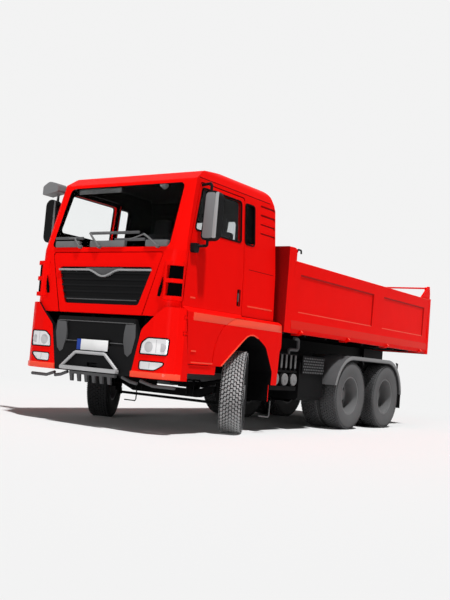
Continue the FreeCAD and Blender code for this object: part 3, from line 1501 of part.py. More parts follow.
def assembly():
    """All nodes by name, straight from the sub-part functions."""
    left_tyre = tyre(front_wheel_x, 0)
    left_rim = front_rim()
    left_knuckle = knuckle()
    nodes = {
        "frame_rails": both_sides(rail()),
        "cross_members": cross_members(),
        "front_axle": front_axle(),
        "leaf_springs": leaf_springs(),
        "spring_hangers": spring_hangers(),
        "engine": engine(),
        "gearbox": gearbox(),
        "drive_axles": drive_axles(),
        "subframe": subframe(),
        "cab_mounts": cab_mounts(),
        "cab_shell": cab_shell(),
        "cab_glass": cab_glass(),
        "cab_steps": cab_steps(),
        "dashboard": dashboard(),
        "seats": seats(),
        "front_fenders": front_fenders(),
        "lamp_housings": lamp_housings(),
        "headlamps": headlamps(),
        "bumper": bumper(),
        "step_bar": step_bar(),
        "skid_comb": skid_comb(),
        "fuel_tank": fuel_tank(),
        "air_tanks": air_tanks(),
        "fill_pipe": fill_pipe(),
        "silencer": silencer(),
        "rear_mudguards": rear_mudguards(),
        "underrun_guard": underrun_guard(),
        "rear_lamps": rear_lamps(),
        "front_flap": front_flap(),
        "grille": grille(),
        "door_left": door(),
        "door_right": other_side(door()),
        "door_glass_left": door_glass(),
        "door_glass_right": other_side(door_glass()),
        "mirror_left": mirror(),
        "mirror_right": joined([other_side(mirror()), kerb_mirror()]),
        "tyre_front_left": steered(left_tyre, 1),
        "tyre_front_right": steered(other_side(left_tyre), -1),
        "rim_front_left": steered(left_rim, 1),
        "rim_front_right": steered(other_side(left_rim), -1),
        "knuckle_left": steered(left_knuckle, 1),
        "knuckle_right": steered(other_side(left_knuckle), -1),
        "tie_rod": tie_rod(),
        "bed": bed_floor(),
        "side_wall_left": side_wall(),
        "side_wall_right": other_side(side_wall()),
        "tailgate": tailgate(),
        "hoist_barrel": hoist_barrel(),
    }
    for index in range(1, len(hoist_radii)):
        nodes["hoist_stage_%d" % index] = hoist_stage(index)
    for number, station in ((1, wheelbase), (2, wheelbase + tandem_spacing)):
        rims = rear_rims(station)
        tyres = [tyre(rear_wheel_x, station), tyre(rear_wheel_x - twin_spacing, station)]
        nodes["rims_rear_%d_left" % number] = rims
        nodes["rims_rear_%d_right" % number] = other_side(rims)
        nodes["tyres_rear_%d_left" % number] = apart(tyres)
        nodes["tyres_rear_%d_right" % number] = apart([other_side(part) for part in tyres])
    return nodes


def middle_station():
    """Station half way between the step bar's front and the bed's rear."""
    return (step_bar_y - 32 + bed_rear) / 2


os.makedirs("parts", exist_ok=True)
for name, shape in assembly().items():
    shape.translate(V(0, -middle_station(), 0))
    shape.exportStep("parts/%s.step" % name)
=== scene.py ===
"""Studio scene of a three-axle dump truck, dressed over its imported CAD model."""
import json
import logging
import math
from dataclasses import dataclass
from enum import Enum
from typing import Callable, Iterable, Sequence

import bmesh
import bpy
from mathutils import Matrix, Vector

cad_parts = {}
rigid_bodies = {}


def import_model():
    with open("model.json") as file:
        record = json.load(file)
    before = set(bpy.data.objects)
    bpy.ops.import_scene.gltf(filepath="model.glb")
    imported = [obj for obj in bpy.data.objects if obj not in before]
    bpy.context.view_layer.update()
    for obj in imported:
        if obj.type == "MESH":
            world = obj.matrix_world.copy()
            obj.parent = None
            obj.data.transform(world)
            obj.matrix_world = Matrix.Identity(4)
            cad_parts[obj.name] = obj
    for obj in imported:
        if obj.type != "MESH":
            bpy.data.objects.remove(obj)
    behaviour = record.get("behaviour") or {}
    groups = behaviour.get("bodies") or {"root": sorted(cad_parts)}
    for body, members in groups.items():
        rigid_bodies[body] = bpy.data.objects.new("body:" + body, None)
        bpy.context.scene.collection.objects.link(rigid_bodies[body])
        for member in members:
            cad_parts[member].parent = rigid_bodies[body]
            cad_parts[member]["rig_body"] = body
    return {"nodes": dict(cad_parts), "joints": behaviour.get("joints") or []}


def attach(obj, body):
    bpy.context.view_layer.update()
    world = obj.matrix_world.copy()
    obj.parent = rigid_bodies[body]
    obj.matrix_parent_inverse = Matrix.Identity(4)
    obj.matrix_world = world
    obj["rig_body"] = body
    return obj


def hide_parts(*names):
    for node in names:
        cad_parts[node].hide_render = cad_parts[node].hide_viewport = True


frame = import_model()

log = logging.getLogger("dump_truck")
Point = Sequence[float]
Socket = bpy.types.NodeSocket
SIDES = (("left", 1), ("right", -1))
MIRRORED = Matrix.Diagonal((-1, 1, 1, 1))
DUST = (0.20, 0.18, 0.15, 1.0)
MIX_A, MIX_B, MIX_RESULT = 6, 7, 2  # colour sockets of Blender's mix node


class Axis(Enum):
    """Row axis that a shape runs along."""

    X = 0
    Y = 1
    Z = 2


class Surface(Enum):
    """Fine structure of a finish."""

    PAINT = "paint"
    MOULDED = "moulded"
    RUBBER = "rubber"
    BRUSHED = "brushed"
    CAST = "cast"
    CLEAR = "clear"
    WOVEN = "woven"


@dataclass(frozen=True)
class Finish:
    """A procedural finish: its colour, gloss and fine structure.

    The grain is in grains per metre and the relief in metres. The shift is the share by which
    the colour varies, and the dust the share of road dust at the ground.
    """

    name: str
    colour: tuple[float, float, float]
    surface: Surface
    roughness: float
    specular: float
    grain: float
    relief: float
    metallic: float = 0.0
    coat: float = 0.0
    clear: float = 0.0
    ior: float = 1.45
    shift: float = 0.08
    dust: float = 0.0
    glow: float = 0.0

    def material(self) -> bpy.types.Material:
        """Returns the finish's material, made on first use."""
        known = bpy.data.materials.get("looks_" + self.name)
        return known if known else FinishNodes(self).build()


class Tree:
    """Node tree of a material or world, with short ways to add and join nodes."""

    def __init__(self, owner: bpy.types.ID) -> None:
        """Takes the tree of a material or world."""
        owner.use_nodes = True
        self.nodes = owner.node_tree.nodes
        self.links = owner.node_tree.links

    def found(self, kind: str) -> bpy.types.Node:
        """First node of a type."""
        return next(n for n in self.nodes if n.type == kind)

    def fill(self, node: bpy.types.Node, values: dict) -> bpy.types.Node:
        """Sets a node's inputs.

        Args:
            node: The node.
            values: Input names or numbers with a socket to link or a value to set.

        Returns:
            The node.
        """
        for key, value in values.items():
            if isinstance(value, Socket):
                self.links.new(value, node.inputs[key])
            else:
                node.inputs[key].default_value = value
        return node

    def add(self, kind: str, values: dict) -> bpy.types.Node:
        """Adds a shader node with its inputs set as by fill()."""
        return self.fill(self.nodes.new("ShaderNode" + kind), values)

    def mixed(self, factor: Socket, first: Socket, second: Socket, output: str) -> None:
        """Mixes two shaders into the surface of an output node of a type."""
        mix = self.add("MixShader", {"Fac": factor, 1: first, 2: second})
        self.fill(self.found(output), {"Surface": mix.outputs["Shader"]})


class FinishNodes(Tree):
    """Builds the node tree of one finish."""

    brush_stretch = (1, 1, 14)
    even_stretch = (1, 1, 1)
    gloss_spread = 0.08
    dust_height = 1.3
    cloud_scale, patch_scale = 3.0, 9.0

    def __init__(self, finish: Finish) -> None:
        """Starts the tree of a finish."""
        self.finish = finish
        self.material = bpy.data.materials.new("looks_" + finish.name)
        super().__init__(self.material)
        self.shader = self.found("BSDF_PRINCIPLED")
        self.place = self.add("TexCoord", {}).outputs["Object"]

    def noise(self, scale: float, detail: float, stretch: Point = even_stretch) -> Socket:
        """Noise over the object.

        Args:
            scale: Grains per metre.
            detail: Octaves of the noise.
            stretch: Scale along each axis.

        Returns:
            The noise's value socket.
        """
        place = self.add("Mapping", {"Scale": stretch, "Vector": self.place}).outputs["Vector"]
        node = self.add("TexNoise", {"Scale": scale, "Detail": detail, "Vector": place})
        return node.outputs["Fac"]

    def spread(self, source: Socket, low: float, high: float, start: float = 0.3,
               end: float = 0.7) -> Socket:
        """Maps a value's range from start to end onto the range from low to high."""
        node = self.add("MapRange", {"From Min": start, "From Max": end, "To Min": low,
                                     "To Max": high, "Value": source})
        return node.outputs["Result"]

    def blended(self, first: tuple | Socket, second: tuple, factor: Socket) -> Socket:
        """Colour between two colours by a factor."""
        node = self.add("Mix", {"Factor": factor, MIX_A: first, MIX_B: second})
        node.data_type = "RGBA"
        return node.outputs[MIX_RESULT]

    def colour(self) -> Socket:
        """Base colour with slow variation and road dust towards the ground."""
        f = self.finish
        dark = (*(c * (1 - f.shift) for c in f.colour), 1.0)
        light = (*(min(c * (1 + f.shift), 1.0) for c in f.colour), 1.0)
        result = self.blended(dark, light, self.spread(self.noise(self.cloud_scale, 4.0),
                                                      0.0, 1.0))
        if f.dust > 0:
            place = self.add("SeparateXYZ", {"Vector": self.place})
            height = self.spread(place.outputs["Z"], f.dust, 0.0, 0.0, self.dust_height)
            patch = self.spread(self.noise(self.patch_scale, 6.0), 0.2, 1.0)
            amount = self.add("Math", {0: height, 1: patch})
            amount.operation = "MULTIPLY"
            result = self.blended(result, DUST, amount.outputs[0])
        return result

    def relief(self, value: Socket) -> None:
        """Bump from a value, as deep as the finish says."""
        node = self.add("Bump", {"Strength": 1.0, "Distance": self.finish.relief,
                                 "Height": value})
        self.fill(self.shader, {"Normal": node.outputs["Normal"]})

    def build(self) -> bpy.types.Material:
        """Fills the tree and returns the material."""
        f = self.finish
        brushed = f.surface is Surface.BRUSHED
        grains = self.noise(f.grain, 3.0, self.brush_stretch if brushed else self.even_stretch)
        spread = 0.0 if f.surface is Surface.CLEAR else self.gloss_spread
        self.fill(self.shader, {
            "Metallic": f.metallic, "Coat Weight": f.coat, "Coat Roughness": 0.06,
            "Transmission Weight": f.clear, "IOR": f.ior, "Specular IOR Level": f.specular,
            "Base Color": self.colour(),
            "Roughness": self.spread(grains, max(f.roughness - spread, 0.0),
                                     f.roughness + spread)})
        if f.glow > 0:
            self.fill(self.shader, {"Emission Color": (*f.colour, 1.0),
                                    "Emission Strength": f.glow})
        if f.surface is Surface.WOVEN:
            weave = self.add("TexWave", {"Scale": f.grain, "Distortion": 0.6,
                                         "Vector": self.place})
            self.relief(weave.outputs["Fac"])
        elif f.relief > 0:
            self.relief(grains)
        return self.material


# The numbers after the surface are roughness, specular, grain and relief.
RED = Finish("body_red", (0.88, 0.004, 0.0025), Surface.PAINT, 0.35, 0.02, 300.0, 0.00002,
             shift=0.02, dust=0.015)
# Lighter orange-red: a painted highlight on up-facing slopes, creases, lips and the wheel arch's
# edge.
RED_PAINTED_HIGHLIGHT = Finish("body_red_painted_highlight", (0.92, 0.075, 0.035), Surface.PAINT, 0.35, 0.1, 300.0,
                   0.00002, coat=0.1, shift=0.02)
# Darker red: painted shade on the drop sides' lower rail.
RED_RAIL_PAINTED_SHADE = Finish("body_red_rail_painted_shade", (0.74, 0.014, 0.006), Surface.PAINT, 0.35, 0.05, 300.0,
                 0.00002, shift=0.02)
# Deep red: painted shade on the sunk panels' downward and upright slopes.
RED_SLOPE_PAINTED_SHADE = Finish("body_red_slope_painted_shade", (0.42, 0.003, 0.002), Surface.PAINT, 0.45, 0.05, 300.0,
                  0.00002, shift=0.03)
# Dark red: painted shade on the headboard's front face and on the louvre slats.
RED_DARK_PAINTED_SHADE = Finish("body_red_dark_painted_shade", (0.26, 0.002, 0.002), Surface.PAINT, 0.5, 0.05, 200.0,
                  0.00004, shift=0.05)
CHASSIS = Finish("chassis_black", (0.004, 0.004, 0.0045), Surface.CAST, 0.6, 0.06, 180.0,
                 0.0004, dust=0.01)
# Near black: the lining inside the cab, doors and front flap, and painted shade in the nose's
# corner slits and slots.
LINING_AND_SLIT_SHADE = Finish("cab_lining_and_slit_shade", (0.002, 0.002, 0.0022), Surface.MOULDED, 0.8, 0.02, 500.0, 0.0001)
ROOF_LINING = Finish("roof_lining", (0.018, 0.018, 0.019), Surface.WOVEN, 0.9, 0.02, 300.0,
                     0.0002)
TRIM = Finish("black_plastic", (0.006, 0.006, 0.0065), Surface.MOULDED, 0.55, 0.08, 900.0,
              0.0001)
TRIM_GREY = Finish("trim_grey", (0.085, 0.085, 0.088), Surface.MOULDED, 0.5, 0.15, 700.0,
                   0.0001)
PAD_GREY = Finish("pad_grey", (0.15, 0.15, 0.152), Surface.MOULDED, 0.55, 0.15, 600.0, 0.0001)
SEAL = Finish("seal_rubber", (0.003, 0.003, 0.003), Surface.RUBBER, 0.75, 0.05, 120.0, 0.0001)
SPRING = Finish("spring_steel", (0.010, 0.010, 0.011), Surface.BRUSHED, 0.6, 0.08, 60.0,
                0.0003, metallic=0.2, dust=0.04)
CAST_GREY = Finish("engine_grey", (0.02, 0.02, 0.022), Surface.CAST, 0.6, 0.1, 220.0, 0.0006,
                   metallic=0.1)
GLASS = Finish("glass", (0.97, 0.98, 0.98), Surface.CLEAR, 0.0, 0.1, 40.0, 0.0, clear=1.0,
               ior=1.05, shift=0.005)
# Darker glass used on the left door only, the right door's being clear: painted shade on that
# window.
GLASS_PAINTED_SHADE = Finish("glass_painted_shade", (0.55, 0.57, 0.58), Surface.CLEAR, 0.0, 0.3, 40.0, 0.0,
                clear=1.0, ior=1.12, shift=0.01)
DASH = Finish("dash_plastic", (0.008, 0.008, 0.009), Surface.MOULDED, 0.65, 0.06, 1200.0,
              0.0002)
CLOTH = Finish("seat_fabric", (0.014, 0.014, 0.016), Surface.WOVEN, 0.9, 0.03, 260.0, 0.0003)
LAMP = Finish("lamp_white", (0.80, 0.80, 0.81), Surface.CLEAR, 0.2, 0.5, 40.0, 0.0, coat=0.3,
              shift=0.05, glow=0.05)
LAMP_GREY = Finish("lamp_reflector", (0.52, 0.52, 0.53), Surface.CLEAR, 0.3, 0.5, 40.0, 0.0)
LAMP_RED = Finish("lamp_red", (0.55, 0.01, 0.01), Surface.CLEAR, 0.2, 0.5, 40.0, 0.0, coat=0.3,
                  shift=0.05)
SILVER = Finish("wave_silver", (0.30, 0.30, 0.305), Surface.BRUSHED, 0.35, 0.5, 50.0, 0.00002,
                metallic=0.15)
CHROME = Finish("chrome", (0.62, 0.63, 0.64), Surface.BRUSHED, 0.2, 0.5, 50.0, 0.00002,
                metallic=0.9)
STEEL = Finish("steel", (0.10, 0.10, 0.102), Surface.BRUSHED, 0.5, 0.2, 70.0, 0.0001,
               metallic=0.3)
STEP = Finish("step_steel", (0.40, 0.40, 0.405), Surface.BRUSHED, 0.4, 0.3, 70.0, 0.0001,
              metallic=0.2)
ALLOY = Finish("tank_alu", (0.26, 0.26, 0.27), Surface.BRUSHED, 0.45, 0.5, 60.0, 0.0001,
               metallic=0.4, dust=0.05)
GUARD = Finish("guard_grey", (0.095, 0.095, 0.098), Surface.MOULDED, 0.55, 0.15, 400.0, 0.0002)
# Lighter grey: a painted highlight on the mudguards' edges, also used for the air tanks' ends.
GUARD_LIGHT = Finish("guard_edge", (0.21, 0.21, 0.212), Surface.MOULDED, 0.5, 0.2, 400.0,
                     0.0001)
RIM = Finish("rim_grey", (0.17, 0.17, 0.172), Surface.PAINT, 0.5, 0.15, 160.0, 0.0001,
             metallic=0.1)
TYRE = Finish("tyre", (0.020, 0.020, 0.021), Surface.RUBBER, 0.8, 0.1, 140.0, 0.0006)
SIDEWALL = Finish("tyre_sidewall", (0.115, 0.115, 0.117), Surface.RUBBER, 0.8, 0.1, 140.0,
                  0.0006)
# Light grey tread on the left front tyre only: painted light, where the right front tyre is black
# all over as painted shade.
TREAD_PAINTED_LIGHT = Finish("tyre_tread", (0.30, 0.30, 0.302), Surface.RUBBER, 0.85, 0.1, 90.0, 0.0008,
               shift=0.3)
TREAD_DARK = Finish("tyre_tread_dark", (0.065, 0.065, 0.067), Surface.RUBBER, 0.85, 0.1, 90.0,
                    0.0008, shift=0.25)
MIRROR = Finish("mirror_grey", (0.19, 0.19, 0.195), Surface.MOULDED, 0.45, 0.2, 500.0, 0.00005,
                shift=0.04)
# Lighter grey: a painted highlight on the left mirror head's outer edge.
MIRROR_PAINTED_HIGHLIGHT = Finish("mirror_grey_painted_highlight", (0.36, 0.36, 0.365), Surface.MOULDED, 0.45, 0.2,
                      500.0, 0.00005, shift=0.04)
MIRROR_GLASS = Finish("mirror_glass", (0.80, 0.82, 0.84), Surface.CLEAR, 0.03, 0.5, 40.0, 0.0,
                      metallic=1.0, shift=0.01)
PLATE_WHITE = Finish("plate_white", (0.82, 0.82, 0.82), Surface.PAINT, 0.5, 0.2, 200.0, 0.0)
PLATE_BLUE = Finish("plate_blue", (0.015, 0.05, 0.30), Surface.PAINT, 0.5, 0.2, 200.0, 0.0)

NODE_FINISH = {name: finish for finish, names in (
    (CHASSIS, "frame_rails cross_members front_axle spring_hangers drive_axles subframe "
              "cab_mounts air_tanks silencer underrun_guard knuckle_left knuckle_right tie_rod "
              "hoist_barrel"),
    (SPRING, "leaf_springs"), (CAST_GREY, "engine gearbox"), (ALLOY, "fuel_tank"),
    # The left door's glass is darker than the right's: painted shade.
    (GLASS, "cab_glass door_glass_right"), (GLASS_PAINTED_SHADE, "door_glass_left"), (DASH, "dashboard"),
    (TRIM, "cab_steps bumper grille"), (TRIM_GREY, "skid_comb fill_pipe"), (STEP, "step_bar"),
    (LAMP, "headlamps"), (LAMP_RED, "rear_lamps"), (GUARD, "rear_mudguards"),
    (CHROME, "hoist_stage_1 hoist_stage_2 hoist_stage_3 hoist_stage_4"),
) for name in names.split()}


def joint(name: str, key: str) -> Vector:
    """Place (pos_m) or direction (axis) of a joint at rest."""
    return Vector(next(j for j in frame["joints"] if j["name"] == name)[key])


AXLE_Y = joint("steer_left", "pos_m").y


def at(x: float, station: float, z: float) -> Vector:
    """Row place of a point given by its distance behind the front axle.

    Args:
        x: Distance to the truck's left.
        station: Distance behind the front axle.
        z: Height.

    Returns:
        The point in the row frame.
    """
    return Vector((x, AXLE_Y + station, z))


def rounded(points: Sequence[Point], radius: float, steps: int = 6) -> list[Vector]:
    """Closed outline with soft corners.

    Args:
        points: Corners of the outline.
        radius: Distance from a corner at which its rounding starts.
        steps: Runs across each corner.

    Returns:
        Points round the outline.
    """
    corners = [Vector(p) for p in points]
    path = []
    for index, here in enumerate(corners):
        start = here + (corners[index - 1] - here).normalized() * radius
        end = here + (corners[(index + 1) % len(corners)] - here).normalized() * radius
        for step in range(steps + 1):
            part = step / steps
            path.append(start.lerp(here, part).lerp(here.lerp(end, part), part))
    return path


def spaced(points: Sequence[Vector], pitch: float) -> list[Vector]:
    """Closed outline with points no further apart than a pitch."""
    path = []
    for here, after in zip(points, [*points[1:], points[0]]):
        count = max(int((after - here).length / pitch), 1)
        path += [here.lerp(after, step / count) for step in range(count)]
    return path


def side_x(z: float) -> float:
    """Half width of the cab's side, which leans in above the belt line."""
    sill, belt = 1.520, 2.070
    if z < belt:
        return 1.150 - 0.015 * (z - sill) / 0.550
    return 1.135 - 0.075 * (z - belt) / 0.950


def linked(name: str, data: bpy.types.ID) -> bpy.types.Object:
    """Object of some data, in the scene."""
    thing = bpy.data.objects.new(name, data)
    bpy.context.scene.collection.objects.link(thing)
    return thing


class Piece:
    """One mesh piece under construction."""

    def __init__(self, name: str, finish: Finish, slot: str, body: str = "chassis") -> None:
        """Starts an empty mesh.

        Args:
            name: Name of the piece.
            finish: Its finish.
            slot: Material slot of the record it belongs to; kept on the piece but not used.
            body: CAD body it rides on.
        """
        self.name = name
        self.finish = finish
        self.slot = slot
        self.body = body
        self.mesh = bmesh.new()

    def bevel(self, edges: Iterable[bmesh.types.BMEdge], width: float, segments: int) -> None:
        """Rounds edges by a width."""
        bmesh.ops.bevel(self.mesh, geom=list(edges), offset=width, offset_type="OFFSET",
                        affect="EDGES", segments=segments, profile=0.5, material=-1,
                        clamp_overlap=True)

    def cuboid(self, low: Point, high: Point, rounding: float, segments: int = 2) -> None:
        """Adds a box with rounded edges between two corners.

        Args:
            low: Lowest corner.
            high: Highest corner.
            rounding: Radius of all its edges, at most just under half its thickness.
            segments: Facets across each rounding.
        """
        low, high = Vector(low), Vector(high)
        size = high - low
        place = Matrix.Translation((low + high) / 2) @ Matrix.Diagonal((*size, 1))
        verts = bmesh.ops.create_cube(self.mesh, size=1.0, matrix=place)["verts"]
        self.bevel({e for v in verts for e in v.link_edges}, min(rounding, min(size) * 0.49),
                   segments)

    def plate(self, outline: Sequence[Point], axis: Axis, low: float, high: float,
              rounding: float, segments: int = 2) -> None:
        """Adds a flat outline drawn out along an axis.

        Args:
            outline: Points in the two other axes, in row order.
            axis: Direction of the thickness.
            low: Start along the axis.
            high: End along the axis.
            rounding: Radius of the two rims' edges.
            segments: Facets across each rounding.
        """
        verts = []
        for point in outline:
            place = list(point)
            place.insert(axis.value, low)
            verts.append(self.mesh.verts.new(place))
        face = self.mesh.faces.new(verts)
        shift = Vector((0, 0, 0))
        shift[axis.value] = high - low
        grown = bmesh.ops.extrude_face_region(self.mesh, geom=[face])["geom"]
        moved = [g for g in grown if isinstance(g, bmesh.types.BMVert)]
        bmesh.ops.translate(self.mesh, verts=moved, vec=shift)
        faces = {f for v in verts + moved for f in v.link_faces}
        bmesh.ops.recalc_face_normals(self.mesh, faces=list(faces))
        rims = [e for e in {e for f in faces for e in f.edges}
                if (e.verts[0] in verts) == (e.verts[1] in verts)]
        self.bevel(rims, rounding, segments)

    def bar(self, start: Point, end: Point, radius: float, tip: float | None = None,
            sides: int = 16, rounding: float = 0.0) -> None:
        """Adds a round or many-sided bar.

        Args:
            start: Middle of the first end.
            end: Middle of the second end.
            radius: Radius at the first end.
            tip: Radius at the second end, the same if left out.
            sides: Number of sides.
            rounding: Radius of the end rims.
        """
        start, end = Vector(start), Vector(end)
        turn = (end - start).to_track_quat("Z", "Y").to_matrix().to_4x4()
        verts = bmesh.ops.create_cone(
            self.mesh, cap_ends=True, segments=sides, radius1=radius,
            radius2=radius if tip is None else tip, depth=(end - start).length,
            matrix=Matrix.Translation((start + end) / 2) @ turn)["verts"]
        if rounding > 0:
            rims = {e for v in verts for e in v.link_edges
                    if any(len(f.verts) > 4 for f in e.link_faces)}
            self.bevel(rims, rounding, 2)

    def lathe(self, profile: Sequence[Point], centre: Point = (0, 0, 0), steps: int = 64) -> None:
        """Adds a body turned about the X axis.

        Args:
            profile: Points as distance along the axis and radius.
            centre: Origin of the axis.
            steps: Facets round the axis.
        """
        verts = [self.mesh.verts.new((along, 0, radius)) for along, radius in profile]
        edges = [self.mesh.edges.new(pair) for pair in zip(verts, verts[1:])]
        bmesh.ops.spin(self.mesh, geom=verts + edges, cent=(0, 0, 0), axis=(1, 0, 0),
                       angle=math.tau, steps=steps, use_merge=True)
        whole = set(verts)
        queue = list(whole)
        while queue:
            vert = queue.pop()
            fresh = {edge.other_vert(vert) for edge in vert.link_edges} - whole
            whole |= fresh
            queue += fresh
        merged = list(whole)
        bmesh.ops.translate(self.mesh, verts=merged, vec=Vector(centre))
        bmesh.ops.remove_doubles(self.mesh, verts=merged, dist=1e-6)

    def tube(self, path: Sequence[Point], radius: float, sides: int = 10,
             ring: bool = False) -> None:
        """Adds a round tube along straight runs, with capped ends or as a ring.

        Args:
            path: Points along the middle.
            radius: Radius of the tube.
            sides: Number of sides.
            ring: Whether the last point joins the first.
        """
        points = [Vector(p) for p in path]
        last = len(points) - 1
        rings = []
        up = Vector((0, 0, 1))
        for index, point in enumerate(points):
            before = points[index - 1] if ring else points[max(index - 1, 0)]
            after = points[(index + 1) % len(points)] if ring else points[min(index + 1, last)]
            turn = (after - before).normalized()
            side = turn.cross(up)
            if side.length < 0.1:
                side = turn.cross(Vector((1, 0, 0)))
            side.normalize()
            up = side.cross(turn)
            place = Matrix.Translation(point) @ Matrix((side, up, turn)).transposed().to_4x4()
            rings.append(bmesh.ops.create_circle(
                self.mesh, cap_ends=index in (0, last) and not ring, segments=sides,
                radius=radius, matrix=place)["verts"])
        for first, second in zip(rings, rings[1:] + (rings[:1] if ring else [])):
            edges = {e for loop in (first, second) for v in loop for e in v.link_edges
                     if e.other_vert(v) in loop}
            bmesh.ops.bridge_loops(self.mesh, edges=list(edges))

    def done(self, smooth: float = 35.0, turn: Matrix | None = None) -> bpy.types.Object:
        """Finishes the piece: normals, shading, finish and body.

        Args:
            smooth: Edges sharper than this angle stay sharp.
            turn: Placement applied to the mesh.

        Returns:
            The finished object.
        """
        if turn is not None:
            bmesh.ops.transform(self.mesh, matrix=turn, verts=self.mesh.verts[:])
        bmesh.ops.recalc_face_normals(self.mesh, faces=self.mesh.faces[:])
        data = bpy.data.meshes.new(self.name)
        self.mesh.to_mesh(data)
        self.mesh.free()
        return settle(data, self.name, [self.finish], self.body, smooth)


def settle(data: bpy.types.Mesh, name: str, finishes: Sequence[Finish], body: str,
           smooth: float) -> bpy.types.Object:
    """Makes an object of finished mesh data and puts it on its body.

    Args:
        data: The mesh.
        name: Name of the object.
        finishes: Its finishes, in the order of the faces' indices.
        body: CAD body it rides on.
        smooth: Edges sharper than this angle stay sharp.

    Returns:
        The object.
    """
    data.shade_smooth()
    data.set_sharp_from_angle(angle=math.radians(smooth))
    for finish in finishes:
        data.materials.append(finish.material())
    piece = linked(name, data)
    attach(piece, body)
    log.info("%s: %d faces on %s", name, len(data.polygons), body)
    return piece


def both(name: str, finish: Finish, slot: str, build: Callable[[Piece], None],
         body: str = "chassis") -> None:
    """Builds a piece on the left and its mirror image on the right.

    Args:
        name: Name without its side.
        finish: The finish.
        slot: Material slot of the record.
        build: Function that adds the left shape to a piece.
        body: Body, with {side} where it differs by side.
    """
    for side, sign in SIDES:
        piece = Piece("%s_%s" % (name, side), finish, slot, body.format(side=side))
        build(piece)
        piece.done(turn=MIRRORED if sign < 0 else None)


def boxes(rows: Sequence[tuple]) -> Callable[[Piece], None]:
    """Shape made of rounded boxes, each row with what Piece.cuboid() takes."""
    def build(piece: Piece) -> None:
        """Adds every box to a piece."""
        for row in rows:
            piece.cuboid(*row)
    return build


def single(name: str, finish: Finish, slot: str, build: Callable[[Piece], None],
           body: str = "chassis") -> bpy.types.Object:
    """Builds one piece, with the arguments of both()."""
    piece = Piece(name, finish, slot, body)
    build(piece)
    return piece.done()


